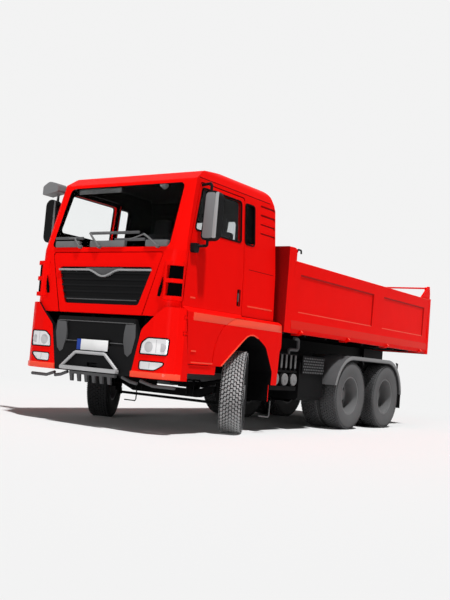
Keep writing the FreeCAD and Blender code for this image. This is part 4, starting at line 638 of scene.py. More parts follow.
class PaintedPanels:
    """Painted CAD panels, copied with softened edges and their dark inner sides, with painted
    highlights and painted shade on some faces.

    The fields are in metres: distances from the middle, heights, and stations behind the
    front axle. The cosines say how squarely a face looks out, up, down or ahead.
    """

    edge = 0.007
    sharp = 14.0
    softened_from = math.radians(40.0)
    facing, level, square = 0.3, 0.7, 0.9
    corner_x, corner_station = 1.0, -1.325
    slot_feet, slot_height = (1.577, 1.774), 0.149
    cab_middle = at(0.0, -0.38, 2.30)
    cab_floor, cab_roof = 1.48, 2.9
    fender_skin, fender_liner = 1.05, 1.14
    hook_z, hook_x, hook_stations = 2.425, (1.14, 1.19), (1.10, 1.40)
    bed_floor = 1.34
    bed_frame_z, bed_frame_x = 1.412, 1.192
    headboard = 0.83
    kerb_mirror = 2.865
    wall_skin = 1.22
    wall_rail = (1.41, 1.53)
    wall_slope = (0.2, 0.95)
    names = ("cab_shell", "door_left", "door_right", "front_flap", "front_fenders",
             "lamp_housings", "bed", "side_wall_left", "side_wall_right", "tailgate",
             "mirror_left", "mirror_right")

    def finish(self, name: str, place: Vector, normal: Vector) -> Finish:
        """Finish of one face of a panel.

        Args:
            name: Name of the panel's node.
            place: Middle of the face.
            normal: Its direction.

        Returns:
            The finish that the face gets.
        """
        out = normal.x * (1.0 if place.x > 0 else -1.0)
        wide = abs(place.x)
        inward = out < -self.facing
        station = place.y - AXLE_Y
        corner = wide > self.corner_x and station < self.corner_station
        slot = any(foot < place.z < foot + self.slot_height for foot in self.slot_feet)
        # Faces of the corner slots are near black: painted shade inside the slots.
        if name in ("cab_shell", "lamp_housings") and corner and slot:
            return LINING_AND_SLIT_SHADE
        if name == "cab_shell":
            view = self.cab_middle - place
            down = normal.z < -self.level
            if place.z < self.cab_floor and down:
                return CHASSIS
            if normal.dot(view) > self.facing * view.length:
                return ROOF_LINING if down and place.z > self.cab_roof else LINING_AND_SLIT_SHADE
        elif name.startswith("door"):
            return LINING_AND_SLIT_SHADE if inward else RED
        elif name == "front_flap":
            return LINING_AND_SLIT_SHADE if normal.y > self.facing else RED
        elif name == "front_fenders":
            skin = out > self.facing and wide > self.fender_skin
            return CHASSIS if inward or (wide < self.fender_liner and not skin) else RED
        elif name == "lamp_housings":
            return CHASSIS if inward or normal.y > self.facing else RED
        elif name == "bed":
            hook = (place.z > self.hook_z and self.hook_x[0] < wide < self.hook_x[1]
                    and self.hook_stations[0] < station < self.hook_stations[1])
            if hook or (place.z < self.bed_frame_z and wide < self.bed_frame_x):
                return CHASSIS
            # The headboard's front face gets a dark red that is painted shade.
            return RED_DARK_PAINTED_SHADE if normal.y < -self.square and station < self.headboard else RED
        elif name.startswith("mirror"):
            # On the right head the faces above the kerb mirror's height are grey, a painted
            # highlight on a head left black as painted shade.
            return MIRROR if place.x < 0.0 and place.z > self.kerb_mirror else TRIM
        elif name.startswith("side_wall"):
            return self.wall_finish(place, normal)
        return RED

    def wall_finish(self, place: Vector, normal: Vector) -> Finish:
        """Finish of a drop side's face: its rail and its sunk panels' slopes stand out by painted
        light, a painted highlight on up-facing slopes and painted shade on the rail and the other
        slopes.
        """
        if abs(place.x) < self.wall_skin or abs(normal.x) < self.wall_slope[0]:
            return RED
        if self.wall_rail[0] < place.z < self.wall_rail[1]:
            return RED_RAIL_PAINTED_SHADE
        if abs(normal.x) > self.wall_slope[1]:
            return RED
        return RED_PAINTED_HIGHLIGHT if normal.z > self.facing else RED_SLOPE_PAINTED_SHADE

    def softened(self, name: str, edge: bmesh.types.BMEdge) -> bool:
        """Whether an edge gets rounded: sharp, and not at the bed's hinge or hoist."""
        if len(edge.link_faces) != 2 or edge.calc_face_angle(0.0) < self.softened_from:
            return False
        return name != "bed" or min(v.co.z for v in edge.verts) >= self.bed_floor

    def soften(self, name: str) -> None:
        """Copies one panel, rounds its edges and lets the copy stand for it."""
        node = frame["nodes"][name]
        mesh = bmesh.new()
        mesh.from_mesh(node.data)
        bmesh.ops.remove_doubles(mesh, verts=mesh.verts[:], dist=1e-5)
        bmesh.ops.dissolve_limit(mesh, angle_limit=math.radians(1.0), verts=mesh.verts[:],
                                 edges=mesh.edges[:])
        weight = mesh.edges.layers.float.new("bevel_weight_edge")
        for edge in mesh.edges:
            edge[weight] = float(self.softened(name, edge))
        painted = not name.startswith("mirror")
        finishes = [RED if painted else TRIM]
        for face in mesh.faces:
            found = self.finish(name, face.calc_center_median(), face.normal)
            if found not in finishes:
                finishes.append(found)
            face.material_index = finishes.index(found)
        data = bpy.data.meshes.new(name + "_panel")
        mesh.to_mesh(data)
        mesh.free()
        piece = settle(data, name + "_panel", finishes, node["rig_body"],
                       self.sharp)
        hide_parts(name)
        rounding = piece.modifiers.new("edges", "BEVEL")
        rounding.width = self.edge
        rounding.segments = 2
        rounding.limit_method = "WEIGHT"
        rounding.use_clamp_overlap = True
        piece.modifiers.new("flat_faces", "WEIGHTED_NORMAL").keep_sharp = True

    def build(self) -> None:
        """Softens every painted panel."""
        for name in self.names:
            self.soften(name)


@dataclass
class Wheels:
    """Tyres with block tread, the rear hub caps and the wheel nuts.

    A ring of nuts is given by its radius and by the disc's face along the axis.
    """

    radius: float = 0.52
    floor: float = 0.506
    sink: float = 0.004
    side: tuple = ((0.112, 0.288), (0.127, 0.300), (0.130, 0.318), (0.138, 0.345),
                   (0.1445, 0.392), (0.1445, 0.430), (0.1405, 0.462), (0.134, 0.480),
                   (0.136, 0.486), (0.126, floor))
    rows: tuple = (-0.108, -0.072, -0.036, 0.0, 0.036, 0.072, 0.108)
    blocks: int = 60
    block_width: float = 0.030
    block_fill: float = 0.80
    block_top: float = 0.88
    block_lean: float = math.radians(14.0)
    lug_place: tuple = (0.1365, 0.492)
    lug_size: tuple = (0.006, 0.24, 0.022)
    twin_offset: float = 0.163
    sharp: float = 34.0
    nuts: int = 10
    front_nuts: tuple = (0.128, 0.092)
    rear_nuts: tuple = (0.150, 0.020)

    def tyre(self) -> bmesh.types.BMesh:
        """Returns a tyre about the X axis, its middle at the origin."""
        piece = Piece("tyre_draft", TYRE, "tyre")
        piece.lathe([(-x, r) for x, r in self.side] + list(reversed(self.side)), steps=96)
        carcass = len(piece.mesh.faces)
        rise = self.radius - self.floor + self.sink
        angle = math.tau / self.blocks
        pitch = angle * self.radius
        size = Matrix.Diagonal((self.block_width, pitch * self.block_fill, rise, 1))
        top = (self.block_top, self.block_top, 1.0)
        for number, row in enumerate(self.rows):
            lean = self.block_lean * (1 if row > 0 else -1 if row < 0 else 0)
            seat = Matrix.Translation((row, 0, self.radius - rise / 2))
            for index in range(self.blocks):
                middle = Matrix.Rotation((index + 0.5 * (number % 2)) * angle, 4, "X") @ seat
                place = middle @ Matrix.Rotation(lean, 4, "Z") @ size
                made = bmesh.ops.create_cube(piece.mesh, size=1.0, matrix=place)["verts"]
                crown = [v for v in made
                         if math.hypot(v.co.y, v.co.z) > self.radius - self.sink]
                bmesh.ops.scale(piece.mesh, vec=top, space=middle.inverted(), verts=crown)
        width, share, height = self.lug_size
        size = Matrix.Diagonal((width, pitch * share, height, 1))
        for index in range(self.blocks * 2):
            turn = Matrix.Rotation(index * angle / 2, 4, "X")
            for edge in (-1, 1):
                seat = Matrix.Translation((edge * self.lug_place[0], 0, self.lug_place[1]))
                bmesh.ops.create_cube(piece.mesh, size=1.0, matrix=turn @ seat @ size)
        piece.mesh.faces.ensure_lookup_table()
        for face in piece.mesh.faces[carcass:]:
            face.material_index = 1
        bmesh.ops.recalc_face_normals(piece.mesh, faces=piece.mesh.faces[:])
        return piece.mesh

    def hub(self) -> bmesh.types.BMesh:
        """Dark hub cap and its ring about the X axis."""
        piece = Piece("hub_draft", SEAL, "rim_grey")
        piece.lathe([(0.0, 0.104), (0.012, 0.104), (0.020, 0.096), (0.110, 0.088),
                     (0.128, 0.072), (0.128, 0.0)], steps=40)
        bmesh.ops.recalc_face_normals(piece.mesh, faces=piece.mesh.faces[:])
        return piece.mesh

    def nut_ring(self, pitch_radius: float, face: float) -> bmesh.types.BMesh:
        """Wheel nuts on a ring about the X axis.

        Args:
            pitch_radius: Radius of the ring.
            face: Place of the disc's face along the axis.

        Returns:
            The nuts' mesh, each a washer, a hexagon and a stud's end.
        """
        piece = Piece("nut_draft", STEEL, "steel")
        for index in range(self.nuts):
            angle = math.tau * index / self.nuts
            y, z = math.cos(angle) * pitch_radius, math.sin(angle) * pitch_radius
            for low, high, radius, sides, rounding in (
                    (-0.002, 0.005, 0.023, 18, 0.0), (0.005, 0.024, 0.017, 6, 0.002),
                    (0.024, 0.040, 0.010, 12, 0.002)):
                piece.bar((face + low, y, z), (face + high, y, z), radius, None, sides, rounding)
        return piece.mesh

    def put(self, mesh: bmesh.types.BMesh, name: str, finishes: Sequence[Finish], body: str,
            place: Matrix) -> bpy.types.Object:
        """Places a copy of a drafted mesh on a wheel."""
        data = bpy.data.meshes.new(name)
        mesh.to_mesh(data)
        data.transform(place)
        if place.determinant() < 0:
            data.flip_normals()
        return settle(data, name, finishes, body, self.sharp)

    def wheels(self) -> list[tuple[str, str, Matrix, list[float]]]:
        """Every wheel's body, tyre node, placement and tyre offsets."""
        found = []
        for side, sign in SIDES:
            name = "roll_front_" + side
            turn = joint(name, "axis").to_track_quat("X", "Z").to_matrix().to_4x4()
            facing = Matrix.Diagonal((sign, 1, 1, 1))
            place = Matrix.Translation(joint(name, "pos_m")) @ turn @ facing
            found.append(("wheel_front_" + side, "tyre_front_" + side, place, [0.0]))
            for number in (1, 2):
                key = "rear_%d_%s" % (number, side)
                place = Matrix.Translation(joint("roll_" + key, "pos_m")) @ facing
                found.append(("wheel_" + key, "tyres_" + key, place,
                              [-self.twin_offset, self.twin_offset]))
        return found

    def build(self) -> None:
        """Dresses all ten tyres and six wheels."""
        tyre, hub = self.tyre(), self.hub()
        front_nuts = self.nut_ring(*self.front_nuts)
        rear_nuts = self.nut_ring(*self.rear_nuts)
        # The left front tread is light grey as painted light and the right front tyre is black all
        # over as painted shade.
        lit_and_shaded_fronts = {"wheel_front_left": (TYRE, TREAD_PAINTED_LIGHT), "wheel_front_right": (TYRE, TYRE)}
        for body, node, place, offsets in self.wheels():
            rubber = lit_and_shaded_fronts.get(body, (SIDEWALL, TREAD_DARK))
            for index, offset in enumerate(offsets, 1):
                seat = place @ Matrix.Translation((offset, 0, 0))
                piece = self.put(tyre, "%s_tread_%d" % (body, index), rubber, body, seat)
                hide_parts(node)
            nuts = front_nuts if "front" in body else rear_nuts
            self.put(nuts, body + "_nuts", [STEEL], body, place)
            if "rear" in body:
                self.put(hub, body + "_hub", [SEAL], body, place)


@dataclass
class GrilleTrim:
    """Wave-shaped bright strip, lower strip and corner slits of the nose, the slits being
    near-black plates of painted shade.
    """

    top: float = 1.893
    edge: float = 0.014
    dip: float = 0.078
    span: float = 0.26
    half: float = 0.742
    strip: float = 0.024
    wave_z: float = 1.85

    def nose(self, z: float) -> float:
        """Place along the row of the nose's face at a height."""
        return AXLE_Y - 1.440 + 0.040 * max(z - 1.700, 0.0) / 0.418

    def wave(self, x: float) -> float:
        """Height of the wave's lower edge at a distance from the middle."""
        fall = 0.5 + 0.5 * math.cos(math.pi * x / self.span) if abs(x) < self.span else 0.0
        return self.top - self.edge - self.dip * fall

    def ribbon(self, low: Callable, high: Callable, half: float,
               depth: float) -> Callable[[Piece], None]:
        """Shape of a strip between two height functions across the nose.

        Args:
            low: Height of the lower edge over x.
            high: Height of the upper edge over x.
            half: Half of the strip's width.
            depth: Thickness of the strip.

        Returns:
            Function that adds the strip to a piece.
        """
        steps = 48
        spots = [-half + 2 * half * i / steps for i in range(steps + 1)]
        outline = [(x, low(x)) for x in spots] + [(x, high(x)) for x in reversed(spots)]
        back = self.nose(self.wave_z) + 0.030
        return lambda piece: piece.plate(outline, Axis.Y, back - depth, back, 0.004)

    def build(self) -> None:
        """Builds the strips and the slits."""
        fill = self.ribbon(self.wave, lambda x: self.top, self.half * 0.4, 0.030)
        single("grille_wave_fill", TRIM_GREY, "black_plastic", fill, "front_flap")
        wave = self.ribbon(lambda x: self.wave(x) - self.strip, self.wave, self.half, 0.044)
        single("grille_wave", SILVER, "chrome", wave, "front_flap")
        back = self.nose(0.0)
        bar = ((-0.560, back - 0.002, 1.500), (0.560, back + 0.030, 1.512), 0.004)
        single("grille_lower_bar", TRIM_GREY, "chrome", boxes([bar]), "front_flap")
        # The slits are near-black plates on the nose: painted shade.
        slit = [(0.905, 1.565), (0.872, 1.572), (0.880, 1.640), (0.908, 1.720), (0.928, 1.790),
                (0.932, 1.700), (0.924, 1.620)]
        both("corner_slit", LINING_AND_SLIT_SHADE, "black_plastic",
             lambda piece: piece.plate(slit, Axis.Y, back - 0.003, back + 0.004, 0.001))


@dataclass
class Windscreen:
    """Wipers, the covers at their feet, the sun visor strip and the cab's lamp."""

    foot_y: float = -1.400
    foot_z: float = 2.118
    slope: float = 0.250 / 0.872

    def on_glass(self, x: float, z: float, out: float) -> Vector:
        """Point on the windscreen moved outward."""
        return at(x, self.foot_y + self.slope * (z - self.foot_z) - out, z)

    def wiper(self, number: int, foot: Point, elbow: Point, blade: Point, z: float) -> None:
        """One wiper: pivot, arm and blade.

        Args:
            number: Number in the piece's name.
            foot: Pivot as x and z.
            elbow: Arm's end as x and z.
            blade: Ends of the blade along x.
            z: Height of the blade.
        """
        def arm(piece: Piece) -> None:
            """Adds the pivot, the bent arm and the link to the blade."""
            piece.bar(self.on_glass(*foot, -0.005), self.on_glass(*foot, 0.045), 0.024, 0.020,
                      20, 0.003)
            bend = ((foot[0] + elbow[0]) / 2 - 0.03, (foot[1] + elbow[1]) / 2 + 0.03)
            end = self.on_glass(*elbow, 0.030)
            piece.tube([self.on_glass(*foot, 0.036), self.on_glass(*bend, 0.044), end], 0.013,
                       12)
            piece.tube([end, self.on_glass(sum(blade) / 2, z, 0.026)], 0.009)
        single("wiper_arm_%d" % number, PAD_GREY, "steel", arm)
        start, end = (self.on_glass(x, z, 0.020) for x in sorted(blade))
        rubber = (start + Vector((0, -0.012, -0.018)), end + Vector((0, 0.008, 0.018)), 0.006)
        single("wiper_blade_%d" % number, TRIM_GREY, "black_plastic", boxes([rubber]))

    def build(self) -> None:
        """Builds the wipers, covers, visor and lamp."""
        self.wiper(1, (-0.12, 2.150), (-0.33, 2.325), (-0.34, 0.46), 2.325)
        self.wiper(2, (0.79, 2.150), (0.54, 2.300), (0.10, 0.58), 2.235)
        self.wiper(3, (-0.44, 2.150), (-0.56, 2.262), (-0.90, -0.42), 2.262)
        for number, (low, high) in enumerate(((-0.87, -0.47), (-0.28, 0.27), (0.60, 0.92)), 1):
            cover = (self.on_glass(low, 2.148, 0.024), self.on_glass(high, 2.225, -0.020), 0.010,
                     3)
            single("cowl_cover_%d" % number, PAD_GREY, "black_plastic", boxes([cover]))
        visor = (at(-0.84, -1.110, 2.885), at(-0.12, -1.090, 2.950), 0.006)
        single("sun_visor", TRIM_GREY, "dash_plastic", boxes([visor]))
        single("cab_lamp", MIRROR, "dash_plastic", lambda piece: piece.bar(
            at(0.56, -1.13, 2.960), at(0.56, -1.07, 2.925), 0.05, 0.04, 24, 0.006))


@dataclass
class FrontLamps:
    """Black rims and inner parts of the head and fog lamps, and the lip below them in a lighter
    red painted highlight.
    """

    plan: tuple = ((0.300, -1.480), (0.880, -1.480), (1.075, -1.445), (1.170, -1.385),
                   (1.222, -1.330))
    head: tuple = ((0.715, 0.900), (1.088, 0.900), (1.098, 1.090), (0.820, 1.090),
                   (0.735, 1.030))
    fog: tuple = ((0.725, 0.722), (0.945, 0.722), (1.055, 0.790), (1.055, 0.822),
                  (0.725, 0.822))
    lamp_z: float = 0.985

    def face(self, x: float) -> float:
        """Place along the row of the housing's skin at a distance from the middle."""
        for (x0, y0), (x1, y1) in zip(self.plan, self.plan[1:]):
            if x <= x1:
                return AXLE_Y + y0 + (y1 - y0) * (x - x0) / (x1 - x0)
        return AXLE_Y + self.plan[-1][1]

    def rims(self, piece: Piece) -> None:
        """Adds a tube round each lamp that follows the housing's face."""
        for outline, radius in ((self.head, 0.0075), (self.fog, 0.0065)):
            path = spaced(rounded([Vector((x, 0, z)) for x, z in outline], 0.030), 0.03)
            piece.tube([Vector((p.x, self.face(p.x) + 0.001, p.z)) for p in path], radius,
                       ring=True)

    def inside(self, piece: Piece) -> None:
        """Adds the lamps' dividers and the two reflectors of the head lamp."""
        for x, low, high in ((0.940, 0.925, 1.070), (0.870, 0.742, 0.804)):
            face = self.face(x) + 0.004
            piece.cuboid((x - 0.004, face, low), (x + 0.004, face + 0.008, high), 0.002)
        for x, near, far, radius, tip in ((0.840, 0.004, 0.012, 0.062, 0.050),
                                          (1.020, 0.002, 0.014, 0.050, 0.042)):
            face = self.face(x)
            piece.bar((x, face + near, self.lamp_z), (x, face + far, self.lamp_z), radius, tip,
                      32, 0.003)

    def lip(self, piece: Piece) -> None:
        """Adds the lip along the housing's lower edge, whose lighter red is a painted highlight.
        """
        spots = [0.615 + 0.605 * i / 24 for i in range(25)]
        outline = [(x, self.face(x) - 0.016) for x in spots]
        outline += [(x, self.face(x) + 0.004) for x in reversed(spots)]
        piece.plate(outline, Axis.Z, 0.634, 0.700, 0.013, 3)

    def build(self) -> None:
        """Builds the rims, the inner parts and the lip."""
        both("lamp_rims", SEAL, "black_plastic", self.rims)
        both("lamp_inside", LAMP_GREY, "lamp_white", self.inside)
        both("housing_lip", RED_PAINTED_HIGHLIGHT, "body_red", self.lip)


@dataclass
class BumperTrim:
    """Number plate, bars and fins of the bumper, and the rods below it."""

    front: float = AXLE_Y - 1.480
    plate_x: tuple = (-0.26, -0.194, 0.24)
    plate_z: tuple = (0.892, 1.020)
    rim: float = 0.010
    fin: tuple = ((0.480, 1.222), (0.628, 1.230), (0.640, 1.080), (0.600, 0.900),
                  (0.545, 0.850), (0.500, 0.880), (0.462, 1.020), (0.462, 1.120))

    def number_plate(self) -> None:
        """Builds the blank plate with its side band and holder."""
        (left, split, right), (low, high) = self.plate_x, self.plate_z
        near, far, rim = self.front - 0.013, self.front - 0.009, self.rim
        single("plate_holder", SEAL, "black_plastic", boxes([
            ((left - rim, self.front - 0.010, low - rim),
             (right + rim, self.front + 0.024, high + rim), 0.005)]))
        single("number_plate", PLATE_WHITE, "lamp_white",
               boxes([((split, near, low), (right, far, high), 0.001)]))
        single("plate_band", PLATE_BLUE, "lamp_white",
               boxes([((left, near, low), (split, far, high), 0.001)]))

    def bars(self, piece: Piece) -> None:
        """Adds the thin bars across the bumper."""
        for half, out, z, radius in ((0.535, 0.010, 0.905, 0.0055), (0.535, 0.010, 0.950, 0.0055),
                                     (0.535, 0.010, 0.995, 0.0055), (0.600, -0.001, 1.236, 0.005)):
            piece.tube([(-half, self.front + out, z), (half, self.front + out, z)], radius)

    def fins(self, piece: Piece) -> None:
        """Adds the dark fin at each end of the bumper."""
        for side in (-1, 1):
            piece.plate([(side * x, z) for x, z in self.fin], Axis.Y, self.front - 0.006,
                        self.front + 0.030, 0.006)

    def rods(self, piece: Piece) -> None:
        """Adds the two bent rods below the left lamp housing."""
        for path in (((0.440, -1.420, 0.612), (0.560, -1.415, 0.570), (0.660, -1.410, 0.555)),
                     ((0.690, -1.390, 0.590), (0.860, -1.360, 0.545), (1.150, -1.330, 0.545))):
            piece.tube([at(*point) for point in path], 0.020)

    def build(self) -> None:
        """Builds the plate, the bars, the side fins and the rods."""
        self.number_plate()
        single("bumper_bars", STEEL, "steel", self.bars)
        single("bumper_fins", TRIM_GREY, "black_plastic", self.fins)
        both("lower_rods", TRIM_GREY, "steel", self.rods)


@dataclass
class DoorTrim:
    """Handles, window seals, louvres in painted shade, and lines of the cab's sides in painted
    highlight.
    """

    sill: float = 2.385
    head: float = 2.905
    seal: float = 0.011
    skin: tuple = (1.2225, 1.2280)
    shoulder: tuple = (1.330, 1.421)
    shoulder_ends: tuple = (AXLE_Y - 1.185, AXLE_Y + 0.790)
    arch: tuple = ((-0.553, 0.832), (-0.120, 1.157), (-0.030, 1.219), (0.050, 1.243),
                   (0.130, 1.245), (0.230, 1.216))

    def on_side(self, station: float, z: float, out: float = 0.0) -> Vector:
        """Point on the left side of the cab, moved outward."""
        return at(side_x(z) + out, station, z)

    def ring(self, piece: Piece, corners: Sequence[Point], radius: float, out: float,
             thick: float, sides: int = 10) -> None:
        """Adds a tube round a soft-cornered outline on the left side.

        Args:
            piece: Piece that gets the tube.
            corners: Station and height of each corner.
            radius: Radius of the corners.
            out: Distance outside the skin.
            thick: Radius of the tube.
            sides: Number of the tube's sides.
        """
        flat = rounded([Vector((0, y, z)) for y, z in corners], radius)
        piece.tube([self.on_side(p.y, p.z, out) for p in flat], thick, sides, ring=True)

    def strip(self, piece: Piece, start: float, end: float, low: float, high: float) -> None:
        """Adds a flat raised line along the cab's side."""
        x = side_x((low + high) / 2)
        piece.cuboid(at(x - 0.003, start, low), at(x + 0.003, end, high), 0.002)

    def pocket(self, piece: Piece) -> None:
        """Adds the dark pocket behind the handle and its rim."""
        piece.cuboid(at(1.122, -0.214, 1.591), at(1.126, -0.151, 1.789), 0.001)
        self.ring(piece, ((-0.215, 1.59), (-0.150, 1.59), (-0.150, 1.79), (-0.215, 1.79)), 0.015,
                  0.0, 0.004, 8)

    def window_seal(self, piece: Piece) -> None:
        """Adds the seal round the door's window."""
        self.ring(piece, ((-1.150, self.sill), (-1.010, self.head), (-0.172, self.head),
                          (-0.172, self.sill)), 0.05, 0.001, self.seal)

    def cab_seals(self, piece: Piece) -> None:
        """Adds the quarter window's seal and the seams of the cab's side."""
        self.ring(piece, ((-0.078, self.sill), (-0.078, self.head), (0.140, self.head),
                          (0.140, self.sill)), 0.05, 0.001, self.seal)
        piece.tube([self.on_side(0.020 + 0.1 * i, 2.070, -0.001) for i in range(7)], 0.003, 8)
        piece.tube([self.on_side(-1.080 + 0.2 * i, 3.020) for i in range(9)], 0.0035, 8)

    def louvres(self, piece: Piece) -> None:
        """Adds the four slats behind the quarter window, whose dark red is painted shade in the
        slots.
        """
        for index in range(4):
            low = 2.557 + 0.120 * index
            x = side_x(low + 0.02)
            piece.cuboid(at(x - 0.030, 0.292, low), at(x - 0.010, 0.638, low + 0.038), 0.004)

    def creases(self, piece: Piece) -> None:
        """Adds the raised lines of the cab's side, fender and arch on the left, which carry a
        painted highlight.
        """
        self.strip(piece, 0.030, 0.632, 1.597, 1.614)
        low, high = self.shoulder
        rows = [low + (high - low) * i / 8 for i in range(9)]
        seam = [(AXLE_Y - 0.210 - math.sqrt(0.25 - (z - 0.924) ** 2), z) for z in rows]
        front, rear = self.shoulder_ends
        for outline in ([(front, low)] + [(y - 0.007, z) for y, z in seam] + [(front, high)],
                        [(rear, low), (rear, high)] + [(y + 0.007, z) for y, z in seam[::-1]]):
            piece.plate(outline, Axis.X, *self.skin, 0.002)
        for start, end, z in ((-1.180, -1.090, 0.980), (-1.170, -0.745, 0.850)):
            piece.cuboid(at(1.2225, start, z - 0.007), at(1.2285, end, z + 0.007), 0.002)
        piece.tube([at(1.222, station, z) for station, z in self.arch], 0.0085)

    def build(self) -> None:
        """Builds the trim of both sides."""
        handle = (at(1.124, -0.206, 1.640), at(1.150, -0.178, 1.745), 0.008, 3)
        both("door_handle", TRIM_GREY, "black_plastic", boxes([handle]), "door_{side}")
        both("handle_pocket", SEAL, "black_plastic", self.pocket, "door_{side}")
        both("window_seal", SEAL, "black_plastic", self.window_seal, "door_{side}")
        both("cab_seals", SEAL, "black_plastic", self.cab_seals)
        # The louvres' dark red is painted shade in their slots.
        both("louvres", RED_DARK_PAINTED_SHADE, "body_red", self.louvres)
        # The creases' lighter red is a painted highlight.
        both("cab_creases", RED_PAINTED_HIGHLIGHT, "body_red", self.creases)
        both("door_crease", RED_PAINTED_HIGHLIGHT, "body_red",
             lambda piece: self.strip(piece, -1.180, -1.085, 1.582, 1.599), "door_{side}")


@dataclass
class MirrorTrim:
    """Mirror glasses, and covers on the front of the heads in painted light: a grey cover with a
    lighter painted highlight on the left head, and a grey painted highlight on the right head's
    edge.
    """

    front: float = AXLE_Y - 1.130
    depth: float = 0.095
    low: float = 2.282
    high: float = 2.815
    slim: float = 0.06

    def cover(self, piece: Piece, inner: float, outer: float, proud: float) -> None:
        """Adds a rounded shell on the front of a head.

        Args:
            piece: Piece that gets the shell.
            inner: Edge next to the cab.
            outer: Edge away from the cab.
            proud: Distance in front of the head.
        """
        width = outer - inner
        lean = (0.5 * width if width < self.slim else 0.030) * 0.5
        flat = rounded([Vector((inner, 0, self.low)), Vector((outer, 0, self.low)),
                        Vector((outer, 0, self.high)), Vector((inner + lean, 0, self.high))],
                       min(0.045, width * 0.3))
        piece.plate([(p.x, p.z) for p in flat], Axis.Y, self.front - proud, self.front + 0.006,
                    0.006, 3)

    def build(self) -> None:
        """Builds the covers and glasses of both mirrors."""
        # The left head is grey as its lit side and the right stays black as painted shade; both
        # edges are painted highlights.
        for name, finish, body, inner, outer, proud in (
                ("mirror_cover_left", MIRROR, "door_left", 1.205, 1.352, 0.012),
                ("mirror_edge_highlight_left", MIRROR_PAINTED_HIGHLIGHT, "door_left", 1.340, 1.396, 0.010),
                ("mirror_edge_highlight_right", PAD_GREY, "door_right", 1.225, 1.262, 0.008)):
            piece = Piece(name, finish, "black_plastic", body)
            self.cover(piece, inner, outer, proud)
            piece.done(turn=MIRRORED if body == "door_right" else None)
        low, high = self.front + self.depth - 0.001, self.front + self.depth + 0.004
        both("mirror_glass", MIRROR_GLASS, "chrome", boxes([
            ((1.225, low, 2.500), (1.385, high, 2.805), 0.012),
            ((1.205, low, 2.285), (1.385, high, 2.480), 0.012)]), "door_{side}")


@dataclass
class SideGear:
    """Grey faces of the gear behind the cab, the mudguards' edges in a lighter grey painted
    highlight and their flaps, and a stay.
    """

    wheelbase: float = 3.030
    spacing: float = 1.330
    middle_z: float = 0.520
    guard_foot: float = 0.150
    guard_rear: float = 0.2
    tank_end: tuple = ((-0.018, 0.082), (-0.004, 0.080), (0.001, 0.070), (0.0, 0.040),
                       (-0.001, 0.036), (0.006, 0.030), (0.010, 0.018), (0.010, 0.0))

    def guard_path(self, radius: float, steps: int = 18) -> list[tuple[float, float]]:
        """Place and height along the mudguard at a radius, from front to rear."""
        low = math.asin(self.guard_foot / radius)
        first = AXLE_Y + self.wheelbase
        arcs = ((first, math.pi - low, math.pi / 2),
                (first + self.spacing, math.pi / 2, self.guard_rear))
        path = []
        for centre, start, end in arcs:
            for step in range(steps + 1):
                angle = start + (end - start) * step / steps
                path.append((centre + radius * math.cos(angle),
                             self.middle_z + radius * math.sin(angle)))
        return path

    def tank_ends(self, piece: Piece) -> None:
        """Adds the light ends of the air tanks."""
        for index in range(3):
            piece.lathe(self.tank_end, at(1.131, 0.910 + 0.245 * index, 0.712), 36)

    def bars(self, piece: Piece) -> None:
        """Adds the upright bars above the air tanks and the bar below them."""
        for index in range(6):
            station = 0.820 + 0.126 * index
            piece.cuboid(at(1.086, station - 0.002, 0.868), at(1.094, station + 0.042, 1.052),
                         0.003)
        piece.cuboid(at(1.086, 0.800, 0.812), at(1.100, 1.500, 0.828), 0.004)

    def dots(self, piece: Piece) -> None:
        """Adds the rows of dots on the perforated guard."""
        for row in range(6):
            z = 0.815 + 0.040 * row
            for column in range(12):
                station = 1.665 + 0.052 * column + 0.026 * (row % 2)
                piece.cuboid(at(1.111, station, z), at(1.1145, station + 0.032, z + 0.022),
                             0.0015)

    def flaps(self, piece: Piece) -> None:
        """Adds the rear mud flap and the two gussets above the mudguard."""
        rear = self.wheelbase + self.spacing + 0.600
        piece.cuboid(at(0.632, rear - 0.006, 0.335), at(1.238, rear + 0.012, 0.700), 0.004)
        for y in (AXLE_Y + 3.420, AXLE_Y + 4.800):
            piece.plate([(y, 1.105), (y + 0.110, 1.090), (y + 0.095, 0.985)], Axis.X, 1.180,
                        1.186, 0.001)

    def build(self) -> None:
        """Builds the tank ends, bars, dots, mudguard edges, flaps and the stay."""
        single("tank_ends", GUARD_LIGHT, "tank_alu", self.tank_ends)
        single("stack_bars", PAD_GREY, "steel", self.bars)
        single("guard_dots", TRIM_GREY, "steel", self.dots)
        # The mudguards' edge band is a lighter grey painted highlight.
        outline = self.guard_path(0.609) + self.guard_path(0.556)[::-1]
        both("guard_edge", GUARD_LIGHT, "guard_grey",
             lambda piece: piece.plate(outline, Axis.X, 1.2445, 1.2475, 0.001))
        both("guard_flaps", TRIM, "black_plastic", self.flaps)
        both("flap_stay", STEEL, "steel", lambda piece: piece.tube(
            [at(1.150, 0.760, 0.420), at(1.150, 0.755, 0.230), at(1.150, 0.735, 0.205),
             at(1.148, 0.500, 0.222)], 0.009))


